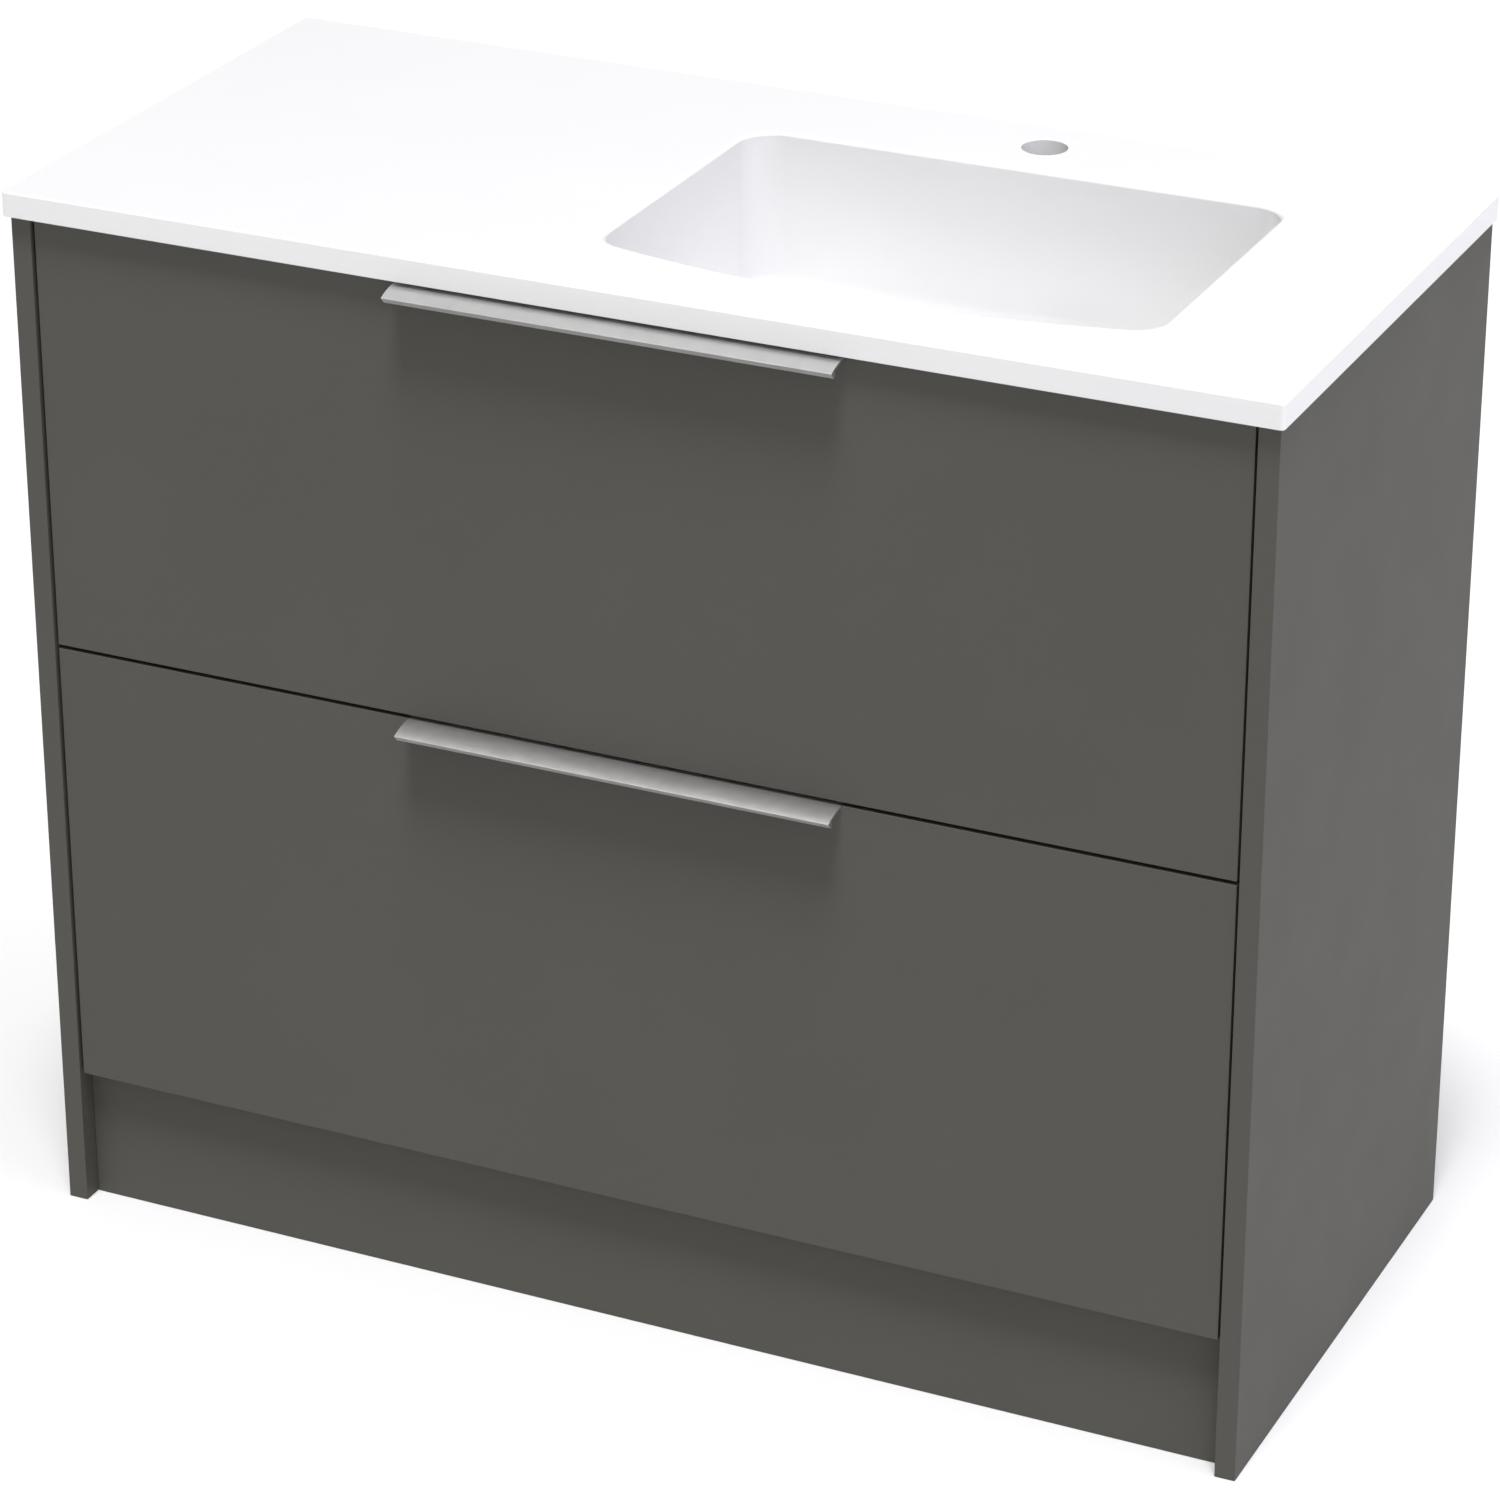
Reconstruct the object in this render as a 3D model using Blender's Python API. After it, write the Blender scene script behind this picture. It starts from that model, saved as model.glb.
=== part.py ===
"""Floor-standing bathroom vanity: two inset full-width drawers under a top with an offset basin.

Metres, +Z up, the drawers facing -Y. The origin is on the floor, under the middle of the whole
object, handles included. Pieces that touch are drawn with a hair of clearance between them.
"""

import math

import bmesh
import bpy
from mathutils import Matrix, Vector

# ---------------------------------------------------------------- driving dimensions
CLEARANCE = 0.0003  # between two pieces that touch
BOARD = 0.016  # coated board of the cabinet and of the drawer fronts

TOP_WIDTH = 1.000
TOP_THICKNESS = 0.019
TOP_OVERHANG_SIDE = 0.004
TOP_OVERHANG_FRONT = 0.006
TOP_CORNER_RADIUS = 0.003
TOP_EDGE_RADIUS = 0.002
HEIGHT = 0.850

PANEL_DEPTH = 0.454  # end panels, front edge to wall
FRONT_SETBACK = 0.0018  # drawer faces behind the end panels' front edges
FRONT_SIDE_GAP = 0.0025  # drawer front to end panel
FRONT_TOP_GAP = 0.0027  # upper drawer front to the top's underside
FRONTS_GAP = 0.0033  # between the two drawer fronts
UPPER_FRONT_HEIGHT = 0.3416
LOWER_FRONT_HEIGHT = 0.3685
CARCASS_GAP = 0.003  # drawer front's back to the rails behind it

KICK_SETBACK = 0.0171
BOTTOM_HEIGHT = 0.113  # underside of the bottom panel
REAR_PLINTH_INSET = 0.042  # room for a skirting board
TOP_RAIL_DEPTH = 0.0255
TOP_RAIL_THICKNESS = 0.0157
WALL_RAIL_HEIGHT = 0.080
LOWER_RAIL_HEIGHT = 0.100

BRACKET_LEG = 0.030
BRACKET_THICKNESS = 0.002
BRACKET_Y = (-0.120, 0.120)

# Handle: a bent aluminium strip let into the drawer front's top edge.
# Its section is drawn by reach (ahead of the drawer's face) and rise (above its top edge).
HANDLE_LENGTH = 0.3517
HANDLE_REACH = 0.0228
HANDLE_DROP = 0.0050  # nose below the drawer front's top edge
HANDLE_SHEET = 0.0012
HANDLE_PLATE = 0.0020
HANDLE_FLANGE = 0.026
HANDLE_LIP_BACK = 0.0046
HANDLE_LIP_DROP = 0.0048
HANDLE_LIP_INNER = 0.0164
HANDLE_FLAT = 0.0010  # where the plate starts to fall
HANDLE_SHOULDER = 0.0004  # from the plate down to the sheet
HANDLE_ARC_STEPS = 8
SCREW_X = {"left": -0.140, "middle": 0.0, "right": 0.140}
SCREW_DROP = 0.020
SCREW_RADIUS = 0.00175
SCREW_LENGTH = 0.0135
SCREW_HEAD_RADIUS = 0.00375
SCREW_HEAD_HEIGHT = 0.0018
SCREW_HEAD_SHAPE = ((0.7, 0.85), (1.0, 0.3))  # shares of the head's radius and height
SCREW_POINT = 0.0020
SCREW_STEPS = 16

# Basin outline at the rim, and its section
BASIN_X = 0.158
BASIN_HALF_WIDTH = 0.2165
BASIN_FRONT = 0.0575  # foremost point of the bowed front, behind the end panels' front edges
BASIN_BACK = 0.357
BASIN_BOW_RADIUS = 0.850
BASIN_CORNER = 0.026
BASIN_CORNER_GROWTH = 0.6  # plan corners open out as the bowl narrows
BASIN_RIM_RADIUS = 0.0025
BASIN_RIM_STEPS = 2
BASIN_WALL_DEPTH = 0.110
BASIN_WALL_INSET = 0.003
BASIN_TURN_WIDTH = 0.040  # from the wall into the floor
BASIN_TURN_DEPTH = 0.040
BASIN_FLOOR_FALL = 0.005
BASIN_SHELL = 0.008
CORNER_STEPS = 5
BOW_STEPS = 10
SIDE_STEPS = 6
TURN_STEPS = 5

TAP_HOLE_RADIUS = 0.0175
TAP_HOLE_Y = 0.4095  # behind the end panels' front edges
WASTE_OFFSET = 0.010  # behind the middle of the basin
WASTE_HOLE_RADIUS = 0.023
WASTE_SEAT_RADIUS = 0.033
WASTE_SEAT_DEPTH = 0.002
WASTE_BOSS_RADIUS = 0.037
WASTE_BOSS_THICKNESS = 0.011
WASTE_FLANGE_RADIUS = 0.0315
WASTE_FLANGE_THICKNESS = 0.0025
WASTE_TAIL_RADIUS = 0.0209
WASTE_BORE_RADIUS = 0.017
WASTE_TAIL_LENGTH = 0.077
WASTE_GUIDE_DEPTH = 0.026
WASTE_GUIDE_HEIGHT = 0.006
WASTE_GUIDE_RADIUS = 0.007
WASTE_BAR_WIDTH = 0.005
SEAL_RADIUS = 0.031
SEAL_THICKNESS = 0.004
NUT_RADIUS = 0.031
NUT_HEIGHT = 0.010
NUT_SIDES = 8
PLUG_RADIUS = 0.028
PLUG_RIM = 0.0018
PLUG_CROWN = 0.0036
PLUG_CROWN_SHAPE = ((0.6, 0.0005), (0.93, 0.0016))  # share of the radius, fall from the crown
PLUG_UNDERCUT = 0.0010
PLUG_STEM_RADIUS = 0.004
PLUG_STEM_LENGTH = 0.044
ROUND_STEPS = 32
MERGE_DISTANCE = 0.000001
SHARP_ANGLE = math.radians(35)

# Drawer boxes and runners
SIDE_BOARD = 0.015
SIDE_HEIGHT = 0.180
BOX_DEPTH = 0.400
RUNNER_SPACE = 0.0127
LOWER_BOX_BASE = 0.145
UPPER_BOX_BASE = 0.505
GROOVE_RISE = 0.010
GROOVE_DEPTH = 0.006
BOTTOM_SHEET = 0.008
BACK_DROP = 0.012  # drawer backs end below the sides' top edges
BUMPER_RADIUS = 0.005
BUMPER_X = 0.440

RECESS_HALF_WIDTH = 0.100  # plumbing recess in the upper drawer
RECESS_AHEAD = 0.080  # recess ahead of the waste
RECESS_BOARD = 0.012

RUNNER_RISE = 0.060  # runner's middle above the drawer side's bottom edge
RUNNER_STEEL = 0.0012
CABINET_MEMBER = {"height": 0.045, "length": 0.400, "front": 0.0050}
MIDDLE_MEMBER = {"height": 0.035, "length": 0.370, "front": 0.0070}
DRAWER_MEMBER = {"height": 0.025, "length": 0.395, "front": 0.0033}
CABINET_FLANGE = 0.0102
MIDDLE_FLANGE = 0.0075
DRAWER_FLANGE = 0.0072
MIDDLE_OFFSET = 0.0027  # middle member's web from the end panel

# ---------------------------------------------------------------- planes worked out from them
CARCASS_HALF = TOP_WIDTH / 2 - TOP_OVERHANG_SIDE
INNER_HALF = CARCASS_HALF - BOARD
PANEL_FRONT = -(PANEL_DEPTH + FRONT_SETBACK - HANDLE_REACH) / 2
PANEL_BACK = PANEL_FRONT + PANEL_DEPTH
FACE = PANEL_FRONT + FRONT_SETBACK
FACE_BACK = FACE + BOARD
CARCASS_FRONT = FACE_BACK + CARCASS_GAP
TOP_UNDER = HEIGHT - TOP_THICKNESS
PANEL_TOP = TOP_UNDER - CLEARANCE
RAIL_HALF = INNER_HALF - CLEARANCE
BOTTOM_TOP = BOTTOM_HEIGHT + BOARD

UPPER_FRONT_TOP = TOP_UNDER - FRONT_TOP_GAP
UPPER_FRONT_BOTTOM = UPPER_FRONT_TOP - UPPER_FRONT_HEIGHT
LOWER_FRONT_TOP = UPPER_FRONT_BOTTOM - FRONTS_GAP
LOWER_FRONT_BOTTOM = LOWER_FRONT_TOP - LOWER_FRONT_HEIGHT
FRONT_HALF = INNER_HALF - FRONT_SIDE_GAP

BASIN_FRONT_Y = PANEL_FRONT + BASIN_FRONT
BASIN_BACK_Y = PANEL_FRONT + BASIN_BACK
BASIN_FLOOR_DEPTH = BASIN_WALL_DEPTH + BASIN_TURN_DEPTH + BASIN_FLOOR_FALL
WASTE_Y = (BASIN_FRONT_Y + BASIN_BACK_Y) / 2 + WASTE_OFFSET
TAP_Y = PANEL_FRONT + TAP_HOLE_Y
SEAT_Z = HEIGHT - BASIN_FLOOR_DEPTH - WASTE_SEAT_DEPTH
BOSS_Z = SEAT_Z - WASTE_BOSS_THICKNESS
FLANGE_TOP = SEAT_Z + CLEARANCE + WASTE_FLANGE_THICKNESS

BOX_HALF = INNER_HALF - RUNNER_SPACE
BOX_INNER = BOX_HALF - SIDE_BOARD
BOX_FRONT = FACE_BACK + CLEARANCE
BOX_BACK = BOX_FRONT + BOX_DEPTH
RECESS_FRONT = WASTE_Y - RECESS_AHEAD


# ---------------------------------------------------------------- helpers
def clear_scene():
    for old in list(bpy.data.objects):
        bpy.data.objects.remove(old)


def make_material(name, colour, roughness, metallic=0.0):
    material = bpy.data.materials.new(name)
    material.use_nodes = True
    shader = material.node_tree.nodes["Principled BSDF"]
    shader.inputs["Base Color"].default_value = (*colour, 1.0)
    shader.inputs["Roughness"].default_value = roughness
    shader.inputs["Metallic"].default_value = metallic
    return material


def link_object(name, bm, origin, parent):
    """Turns world-space geometry into an object whose origin is at the given point."""
    bmesh.ops.recalc_face_normals(bm, faces=bm.faces)
    bm.transform(Matrix.Translation(-Vector(origin)))
    mesh = bpy.data.meshes.new(name)
    bm.to_mesh(mesh)
    bm.free()
    shape = bpy.data.objects.new(name, mesh)
    bpy.context.scene.collection.objects.link(shape)
    shape.location = Vector(origin)
    if parent is not None:
        shape.parent = parent
        shape.location -= parent.location
    return shape


def add_piece(name, bm, material, origin=(0, 0, 0), parent=None, smooth=False):
    piece = link_object(name, bm, origin, parent)
    piece.data.materials.append(material)
    if smooth:
        piece.data.shade_smooth()
        piece.data.set_sharp_from_angle(angle=SHARP_ANGLE)
    return piece


def add_helper(name, bm, parent=None):
    """A shape that only cuts or joins another one."""
    helper = link_object(name, bm, (0, 0, 0), parent)
    helper.hide_render = True
    helper.display_type = "WIRE"
    return helper


def add_carrier(name, origin):
    """The empty that a moving group hangs from, on its joint's axis."""
    carrier = bpy.data.objects.new(name, None)
    bpy.context.scene.collection.objects.link(carrier)
    carrier.location = Vector(origin)
    return carrier


def combine(piece, helper, operation):
    modifier = piece.modifiers.new(helper.name, "BOOLEAN")
    modifier.operation = operation
    modifier.solver = "EXACT"
    modifier.object = helper


def box(low, high):
    low, high = Vector(low), Vector(high)
    bm = bmesh.new()
    bmesh.ops.create_cube(bm, size=1.0)
    bmesh.ops.scale(bm, vec=high - low, verts=bm.verts)
    bmesh.ops.translate(bm, vec=(low + high) / 2, verts=bm.verts)
    return bm


def cylinder(centre, radius, length, axis, steps=ROUND_STEPS):
    """A cylinder from centre, length long towards +axis."""
    bm = bmesh.new()
    bmesh.ops.create_cone(
        bm, cap_ends=True, segments=steps, radius1=radius, radius2=radius, depth=length
    )
    turn = Vector((0, 0, 1)).rotation_difference(Vector(axis)).to_matrix().to_4x4()
    middle = Vector(centre) + Vector(axis) * (length / 2)
    bm.transform(Matrix.Translation(middle) @ turn)
    return bm


def extrusion(points, travel):
    """A flat outline carried along a straight line."""
    bm = bmesh.new()
    face = bm.faces.new([bm.verts.new(p) for p in points])
    made = bmesh.ops.extrude_face_region(bm, geom=[face])["geom"]
    moved = [v for v in made if isinstance(v, bmesh.types.BMVert)]
    bmesh.ops.translate(bm, vec=travel, verts=moved)
    return bm


def turned(profile, centre, closed=True):
    """A section of (radius, height) points spun round the vertical through centre."""
    bm = bmesh.new()
    verts = [bm.verts.new((centre[0] + r, centre[1], centre[2] + z)) for r, z in profile]
    pairs = list(zip(verts, verts[1:]))
    if closed:
        pairs.append((verts[-1], verts[0]))
    edges = [bm.edges.new(pair) for pair in pairs]
    bmesh.ops.spin(
        bm,
        geom=verts + edges,
        cent=centre,
        axis=(0, 0, 1),
        angle=2 * math.pi,
        steps=ROUND_STEPS,
        use_merge=True,
    )
    bmesh.ops.remove_doubles(bm, verts=bm.verts, dist=MERGE_DISTANCE)
    return bm


def arc(centre, radius, start, end, steps):
    """Points of an arc, both ends included, with angles in radians."""
    angles = [start + (end - start) * i / steps for i in range(steps + 1)]
    return [(centre[0] + radius * math.cos(a), centre[1] + radius * math.sin(a)) for a in angles]


def between(start, end, steps):
    """Points that divide a straight line, both ends left out."""
    shares = [i / steps for i in range(1, steps)]
    return [tuple(a + (b - a) * t for a, b in zip(start, end)) for t in shares]


# ---------------------------------------------------------------- cabinet
def build_cabinet(grey, zinc):
    for side, sign in (("left", -1), ("right", 1)):
        inner, outer = sorted((sign * INNER_HALF, sign * CARCASS_HALF))
        board = box((inner, PANEL_FRONT, 0), (outer, PANEL_BACK, PANEL_TOP))
        add_piece(f"{side}_end_panel", board, grey)
    kick_front = PANEL_FRONT + KICK_SETBACK
    wall_rail_front = PANEL_BACK - BOARD
    plinth_back = PANEL_BACK - REAR_PLINTH_INSET
    base = BOTTOM_HEIGHT - CLEARANCE
    rows = {
        "bottom_panel": (CARCASS_FRONT, PANEL_BACK, BOTTOM_HEIGHT, BOTTOM_TOP),
        "kickboard": (kick_front, kick_front + BOARD, 0, base),
        "rear_plinth_rail": (plinth_back - BOARD, plinth_back, 0, base),
        "front_top_rail": (
            CARCASS_FRONT,
            CARCASS_FRONT + TOP_RAIL_DEPTH,
            PANEL_TOP - TOP_RAIL_THICKNESS,
            PANEL_TOP,
        ),
        "wall_rail": (wall_rail_front, PANEL_BACK, PANEL_TOP - WALL_RAIL_HEIGHT, PANEL_TOP),
        "back_lower_rail": (
            wall_rail_front,
            PANEL_BACK,
            BOTTOM_TOP + CLEARANCE,
            BOTTOM_TOP + LOWER_RAIL_HEIGHT,
        ),
    }
    for name, (front, back, low, high) in rows.items():
        add_piece(name, box((-RAIL_HALF, front, low), (RAIL_HALF, back, high)), grey)
    for side, sign in (("left", -1), ("right", 1)):
        for place, y in zip(("front", "back"), BRACKET_Y):
            add_piece(f"top_bracket_{side}_{place}", bracket(sign, y), zinc)


def bracket(sign, y):
    """Angle bracket between an end panel and the top's underside."""
    wall = RAIL_HALF
    inner = wall - BRACKET_THICKNESS
    under = PANEL_TOP - BRACKET_THICKNESS
    outline = [
        (wall, PANEL_TOP),
        (wall, PANEL_TOP - BRACKET_LEG),
        (inner, PANEL_TOP - BRACKET_LEG),
        (inner, under),
        (wall - BRACKET_LEG, under),
        (wall - BRACKET_LEG, PANEL_TOP),
    ]
    points = [(sign * x, y - BRACKET_LEG / 2, z) for x, z in outline]
    return extrusion(points, (0, BRACKET_LEG, 0))


# ---------------------------------------------------------------- top and basin
def basin_ring(inset, depth):
    """The basin's outline drawn in by inset, at a depth below the top: straight back and sides,
    a bowed front, and corners that are tangent to both of their neighbours."""
    half = BASIN_HALF_WIDTH - inset
    back = BASIN_BACK_Y - inset
    bow = BASIN_BOW_RADIUS - inset
    bow_centre = BASIN_FRONT_Y + BASIN_BOW_RADIUS
    corner = BASIN_CORNER + BASIN_CORNER_GROWTH * max(inset, 0) - min(inset, 0)
    side = half - corner
    front_corner_y = bow_centre - math.sqrt((bow - corner) ** 2 - side**2)
    lean = math.asin(side / (bow - corner))
    quarter = math.pi / 2
    back_corner_y = back - corner
    outline = arc((side, back_corner_y), corner, 0, quarter, CORNER_STEPS)
    outline += between((side, back), (-side, back), BOW_STEPS)
    outline += arc((-side, back_corner_y), corner, quarter, 2 * quarter, CORNER_STEPS)
    outline += between((-half, back_corner_y), (-half, front_corner_y), SIDE_STEPS)
    outline += arc((-side, front_corner_y), corner, 2 * quarter, 3 * quarter - lean, CORNER_STEPS)
    outline += arc((0, bow_centre), bow, 3 * quarter - lean, 3 * quarter + lean, BOW_STEPS)[1:-1]
    outline += arc((side, front_corner_y), corner, 3 * quarter + lean, 4 * quarter, CORNER_STEPS)
    outline += between((half, front_corner_y), (half, back_corner_y), SIDE_STEPS)
    return [Vector((BASIN_X + x, y, HEIGHT - depth)) for x, y in outline]


def round_ring(ring, radius, depth):
    """Each point of a ring brought to a circle round the waste, along its own direction."""
    centre = Vector((BASIN_X, WASTE_Y, HEIGHT - depth))
    made = []
    for point in ring:
        away = Vector((point.x - centre.x, point.y - centre.y, 0)).normalized()
        made.append(centre + away * radius)
    return made


def turn_rings(inset, depth, width, height):
    """Rings of the quarter turn from the wall into the floor."""
    rings = []
    for step in range(TURN_STEPS + 1):
        angle = math.pi / 2 * step / TURN_STEPS
        drawn_in = inset + width * (1 - math.cos(angle))
        rings.append(basin_ring(drawn_in, depth + height * math.sin(angle)))
    return rings


def loft(rings):
    """Equal rings joined by quads, with a flat cap at each end."""
    bm = bmesh.new()
    loops = [[bm.verts.new(p) for p in ring] for ring in rings]
    for upper, lower in zip(loops, loops[1:]):
        for i in range(len(upper)):
            j = (i + 1) % len(upper)
            bm.faces.new((upper[i], upper[j], lower[j], lower[i]))
    bm.faces.new(loops[0])
    bm.faces.new(loops[-1])
    return bm


def basin_cavity():
    """The space inside the bowl, carried on above the top so that it cuts cleanly."""
    half_rim = BASIN_RIM_RADIUS / 2
    rings = [basin_ring(-half_rim, -TOP_THICKNESS / 2)]
    rings += rim_rings(half_rim)
    rings += turn_rings(BASIN_WALL_INSET, BASIN_WALL_DEPTH, BASIN_TURN_WIDTH, BASIN_TURN_DEPTH)
    rings.append(round_ring(rings[-1], WASTE_FLANGE_RADIUS, BASIN_FLOOR_DEPTH))
    return loft(rings)


def rim_rings(half_rim):
    """The rounded rim, from the flat top over into the wall."""
    rings = []
    for step in range(BASIN_RIM_STEPS + 1):
        angle = math.pi / 2 * step / BASIN_RIM_STEPS
        drawn_in = half_rim - BASIN_RIM_RADIUS * (1 - math.sin(angle))
        rings.append(basin_ring(drawn_in, BASIN_RIM_RADIUS * (1 - math.cos(angle))))
    return rings


def basin_shell():
    """The outside of the bowl, started inside the slab and ending in the waste's boss."""
    rings = [basin_ring(-BASIN_SHELL, TOP_THICKNESS / 2)]
    rings += turn_rings(
        BASIN_WALL_INSET - BASIN_SHELL,
        BASIN_WALL_DEPTH,
        BASIN_TURN_WIDTH,
        BASIN_TURN_DEPTH + BASIN_SHELL,
    )
    boss_depth = HEIGHT - BOSS_Z
    rings.append(round_ring(rings[-1], WASTE_BOSS_RADIUS, boss_depth - BASIN_FLOOR_FALL))
    rings.append(round_ring(rings[-1], WASTE_BOSS_RADIUS, boss_depth))
    return loft(rings)


def slab():
    """The top's flat slab with its rounded corners and upper edge."""
    half = TOP_WIDTH / 2
    low = (-half, PANEL_FRONT - TOP_OVERHANG_FRONT, TOP_UNDER)
    bm = box(low, (half, PANEL_BACK, HEIGHT))
    upright = [e for e in bm.edges if abs(e.verts[0].co.z - e.verts[1].co.z) > CLEARANCE]
    bmesh.ops.bevel(
        bm, geom=upright, offset=TOP_CORNER_RADIUS, segments=3, profile=0.5, affect="EDGES"
    )
    upper = [e for e in bm.edges if min(v.co.z for v in e.verts) > HEIGHT - CLEARANCE]
    bmesh.ops.bevel(
        bm, geom=upper, offset=TOP_EDGE_RADIUS, segments=2, profile=0.5, affect="EDGES"
    )
    return bm


def build_top(white):
    top = add_piece("vanity_top", slab(), white, smooth=True)
    combine(top, add_helper("shape_basin_shell", basin_shell()), "UNION")
    combine(top, add_helper("cut_basin", basin_cavity()), "DIFFERENCE")
    tap_start = (BASIN_X, TAP_Y, TOP_UNDER - TOP_THICKNESS)
    tap = cylinder(tap_start, TAP_HOLE_RADIUS, 3 * TOP_THICKNESS, (0, 0, 1))
    combine(top, add_helper("cut_tap_hole", tap), "DIFFERENCE")
    seat = cylinder((BASIN_X, WASTE_Y, SEAT_Z), WASTE_SEAT_RADIUS, TOP_THICKNESS, (0, 0, 1))
    combine(top, add_helper("cut_waste_seat", seat), "DIFFERENCE")
    waste_start = (BASIN_X, WASTE_Y, BOSS_Z - WASTE_BOSS_THICKNESS)
    waste = cylinder(waste_start, WASTE_HOLE_RADIUS, 3 * WASTE_BOSS_THICKNESS, (0, 0, 1))
    combine(top, add_helper("cut_waste_hole", waste), "DIFFERENCE")


# ---------------------------------------------------------------- waste
def build_waste_body(chrome):
    """A flanged tube with a bar across its bore that guides the plug's stem."""
    axis = (BASIN_X, WASTE_Y, 0)
    flange_under = SEAT_Z + CLEARANCE
    section = [
        (WASTE_BORE_RADIUS, FLANGE_TOP),
        (WASTE_FLANGE_RADIUS, FLANGE_TOP),
        (WASTE_FLANGE_RADIUS, flange_under),
        (WASTE_TAIL_RADIUS, flange_under),
        (WASTE_TAIL_RADIUS, flange_under - WASTE_TAIL_LENGTH),
        (WASTE_BORE_RADIUS, flange_under - WASTE_TAIL_LENGTH),
    ]
    body = add_piece("waste_body", turned(section, axis), chrome, smooth=True)
    guide_z = flange_under - WASTE_GUIDE_DEPTH
    half_bar = WASTE_BAR_WIDTH / 2
    reach = WASTE_BORE_RADIUS + CLEARANCE * 3
    bar_low = (BASIN_X - reach, WASTE_Y - half_bar, guide_z)
    bar_high = (BASIN_X + reach, WASTE_Y + half_bar, guide_z + WASTE_GUIDE_HEIGHT)
    combine(body, add_helper("shape_waste_bar", box(bar_low, bar_high)), "UNION")
    boss_start = (BASIN_X, WASTE_Y, guide_z - CLEARANCE)
    boss_height = WASTE_GUIDE_HEIGHT + 2 * CLEARANCE
    boss = cylinder(boss_start, WASTE_GUIDE_RADIUS, boss_height, (0, 0, 1))
    combine(body, add_helper("shape_waste_guide", boss), "UNION")
    bore_start = (BASIN_X, WASTE_Y, guide_z - WASTE_GUIDE_HEIGHT)
    bore_radius = PLUG_STEM_RADIUS + CLEARANCE
    bore = cylinder(bore_start, bore_radius, 3 * WASTE_GUIDE_HEIGHT, (0, 0, 1))
    combine(body, add_helper("cut_waste_guide", bore), "DIFFERENCE")


def build_waste_fixings(chrome, rubber):
    """The seal and the backnut under the basin's boss."""
    inner = WASTE_TAIL_RADIUS + CLEARANCE
    seal_top = BOSS_Z - CLEARANCE
    nut_top = seal_top - SEAL_THICKNESS - CLEARANCE
    seal = ring_section(inner, SEAL_RADIUS, seal_top - SEAL_THICKNESS, seal_top)
    add_piece("waste_seal", turned(seal, (BASIN_X, WASTE_Y, 0)), rubber, smooth=True)
    nut_start = (BASIN_X, WASTE_Y, nut_top - NUT_HEIGHT)
    nut = cylinder(nut_start, NUT_RADIUS, NUT_HEIGHT, (0, 0, 1), NUT_SIDES)
    backnut = add_piece("waste_backnut", nut, chrome)
    hole_start = (BASIN_X, WASTE_Y, nut_top - 2 * NUT_HEIGHT)
    hole = cylinder(hole_start, inner, 3 * NUT_HEIGHT, (0, 0, 1))
    combine(backnut, add_helper("cut_backnut", hole), "DIFFERENCE")


def build_plug(chrome):
    """A slightly crowned cap on a stem, resting on the waste's flange."""
    seat = (BASIN_X, WASTE_Y, FLANGE_TOP + CLEARANCE)
    section = [(0, PLUG_CROWN)]
    section += [(PLUG_RADIUS * share, PLUG_CROWN - fall) for share, fall in PLUG_CROWN_SHAPE]
    section += [
        (PLUG_RADIUS, PLUG_RIM / 2),
        (PLUG_RADIUS - PLUG_UNDERCUT, 0),
        (PLUG_STEM_RADIUS, 0),
        (PLUG_STEM_RADIUS, -PLUG_STEM_LENGTH),
        (0, -PLUG_STEM_LENGTH),
    ]
    plug = turned(section, seat, closed=False)
    add_piece("waste_plug", plug, chrome, seat, smooth=True)


def ring_section(inner, outer, low, high):
    return [(inner, low), (outer, low), (outer, high), (inner, high)]


# ---------------------------------------------------------------- handles
def handle_section():
    """(reach, rise) points: down the back flange, level with the drawer front's top edge, along
    the convex plate to its nose, and back under it."""
    start = HANDLE_FLAT
    run = HANDLE_REACH - start
    sweep = 2 * math.atan2(HANDLE_DROP, run)
    radius = run / math.sin(sweep)
    centre = (start, -radius)
    inner_radius = radius - HANDLE_PLATE
    inner_sweep = math.asin((HANDLE_LIP_INNER - start) / inner_radius)
    up = math.pi / 2
    upper = arc(centre, radius, up, up - sweep, HANDLE_ARC_STEPS)
    under = arc(centre, inner_radius, up - inner_sweep, up, HANDLE_ARC_STEPS)
    flange_inner = -BOARD - CLEARANCE
    flange_outer = flange_inner - HANDLE_SHEET
    lip_low = -HANDLE_DROP - HANDLE_LIP_DROP
    points = [(flange_outer, -HANDLE_FLANGE), (flange_outer, 0)]
    points += upper
    points += [(HANDLE_REACH - HANDLE_LIP_BACK, lip_low), (HANDLE_LIP_INNER, lip_low)]
    points += under
    points += [(HANDLE_SHOULDER, under[-1][1]), (HANDLE_SHOULDER, -HANDLE_SHEET)]
    points += [(flange_inner, -HANDLE_SHEET)]
    points += [(flange_inner, -HANDLE_FLANGE)]
    return points


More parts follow.
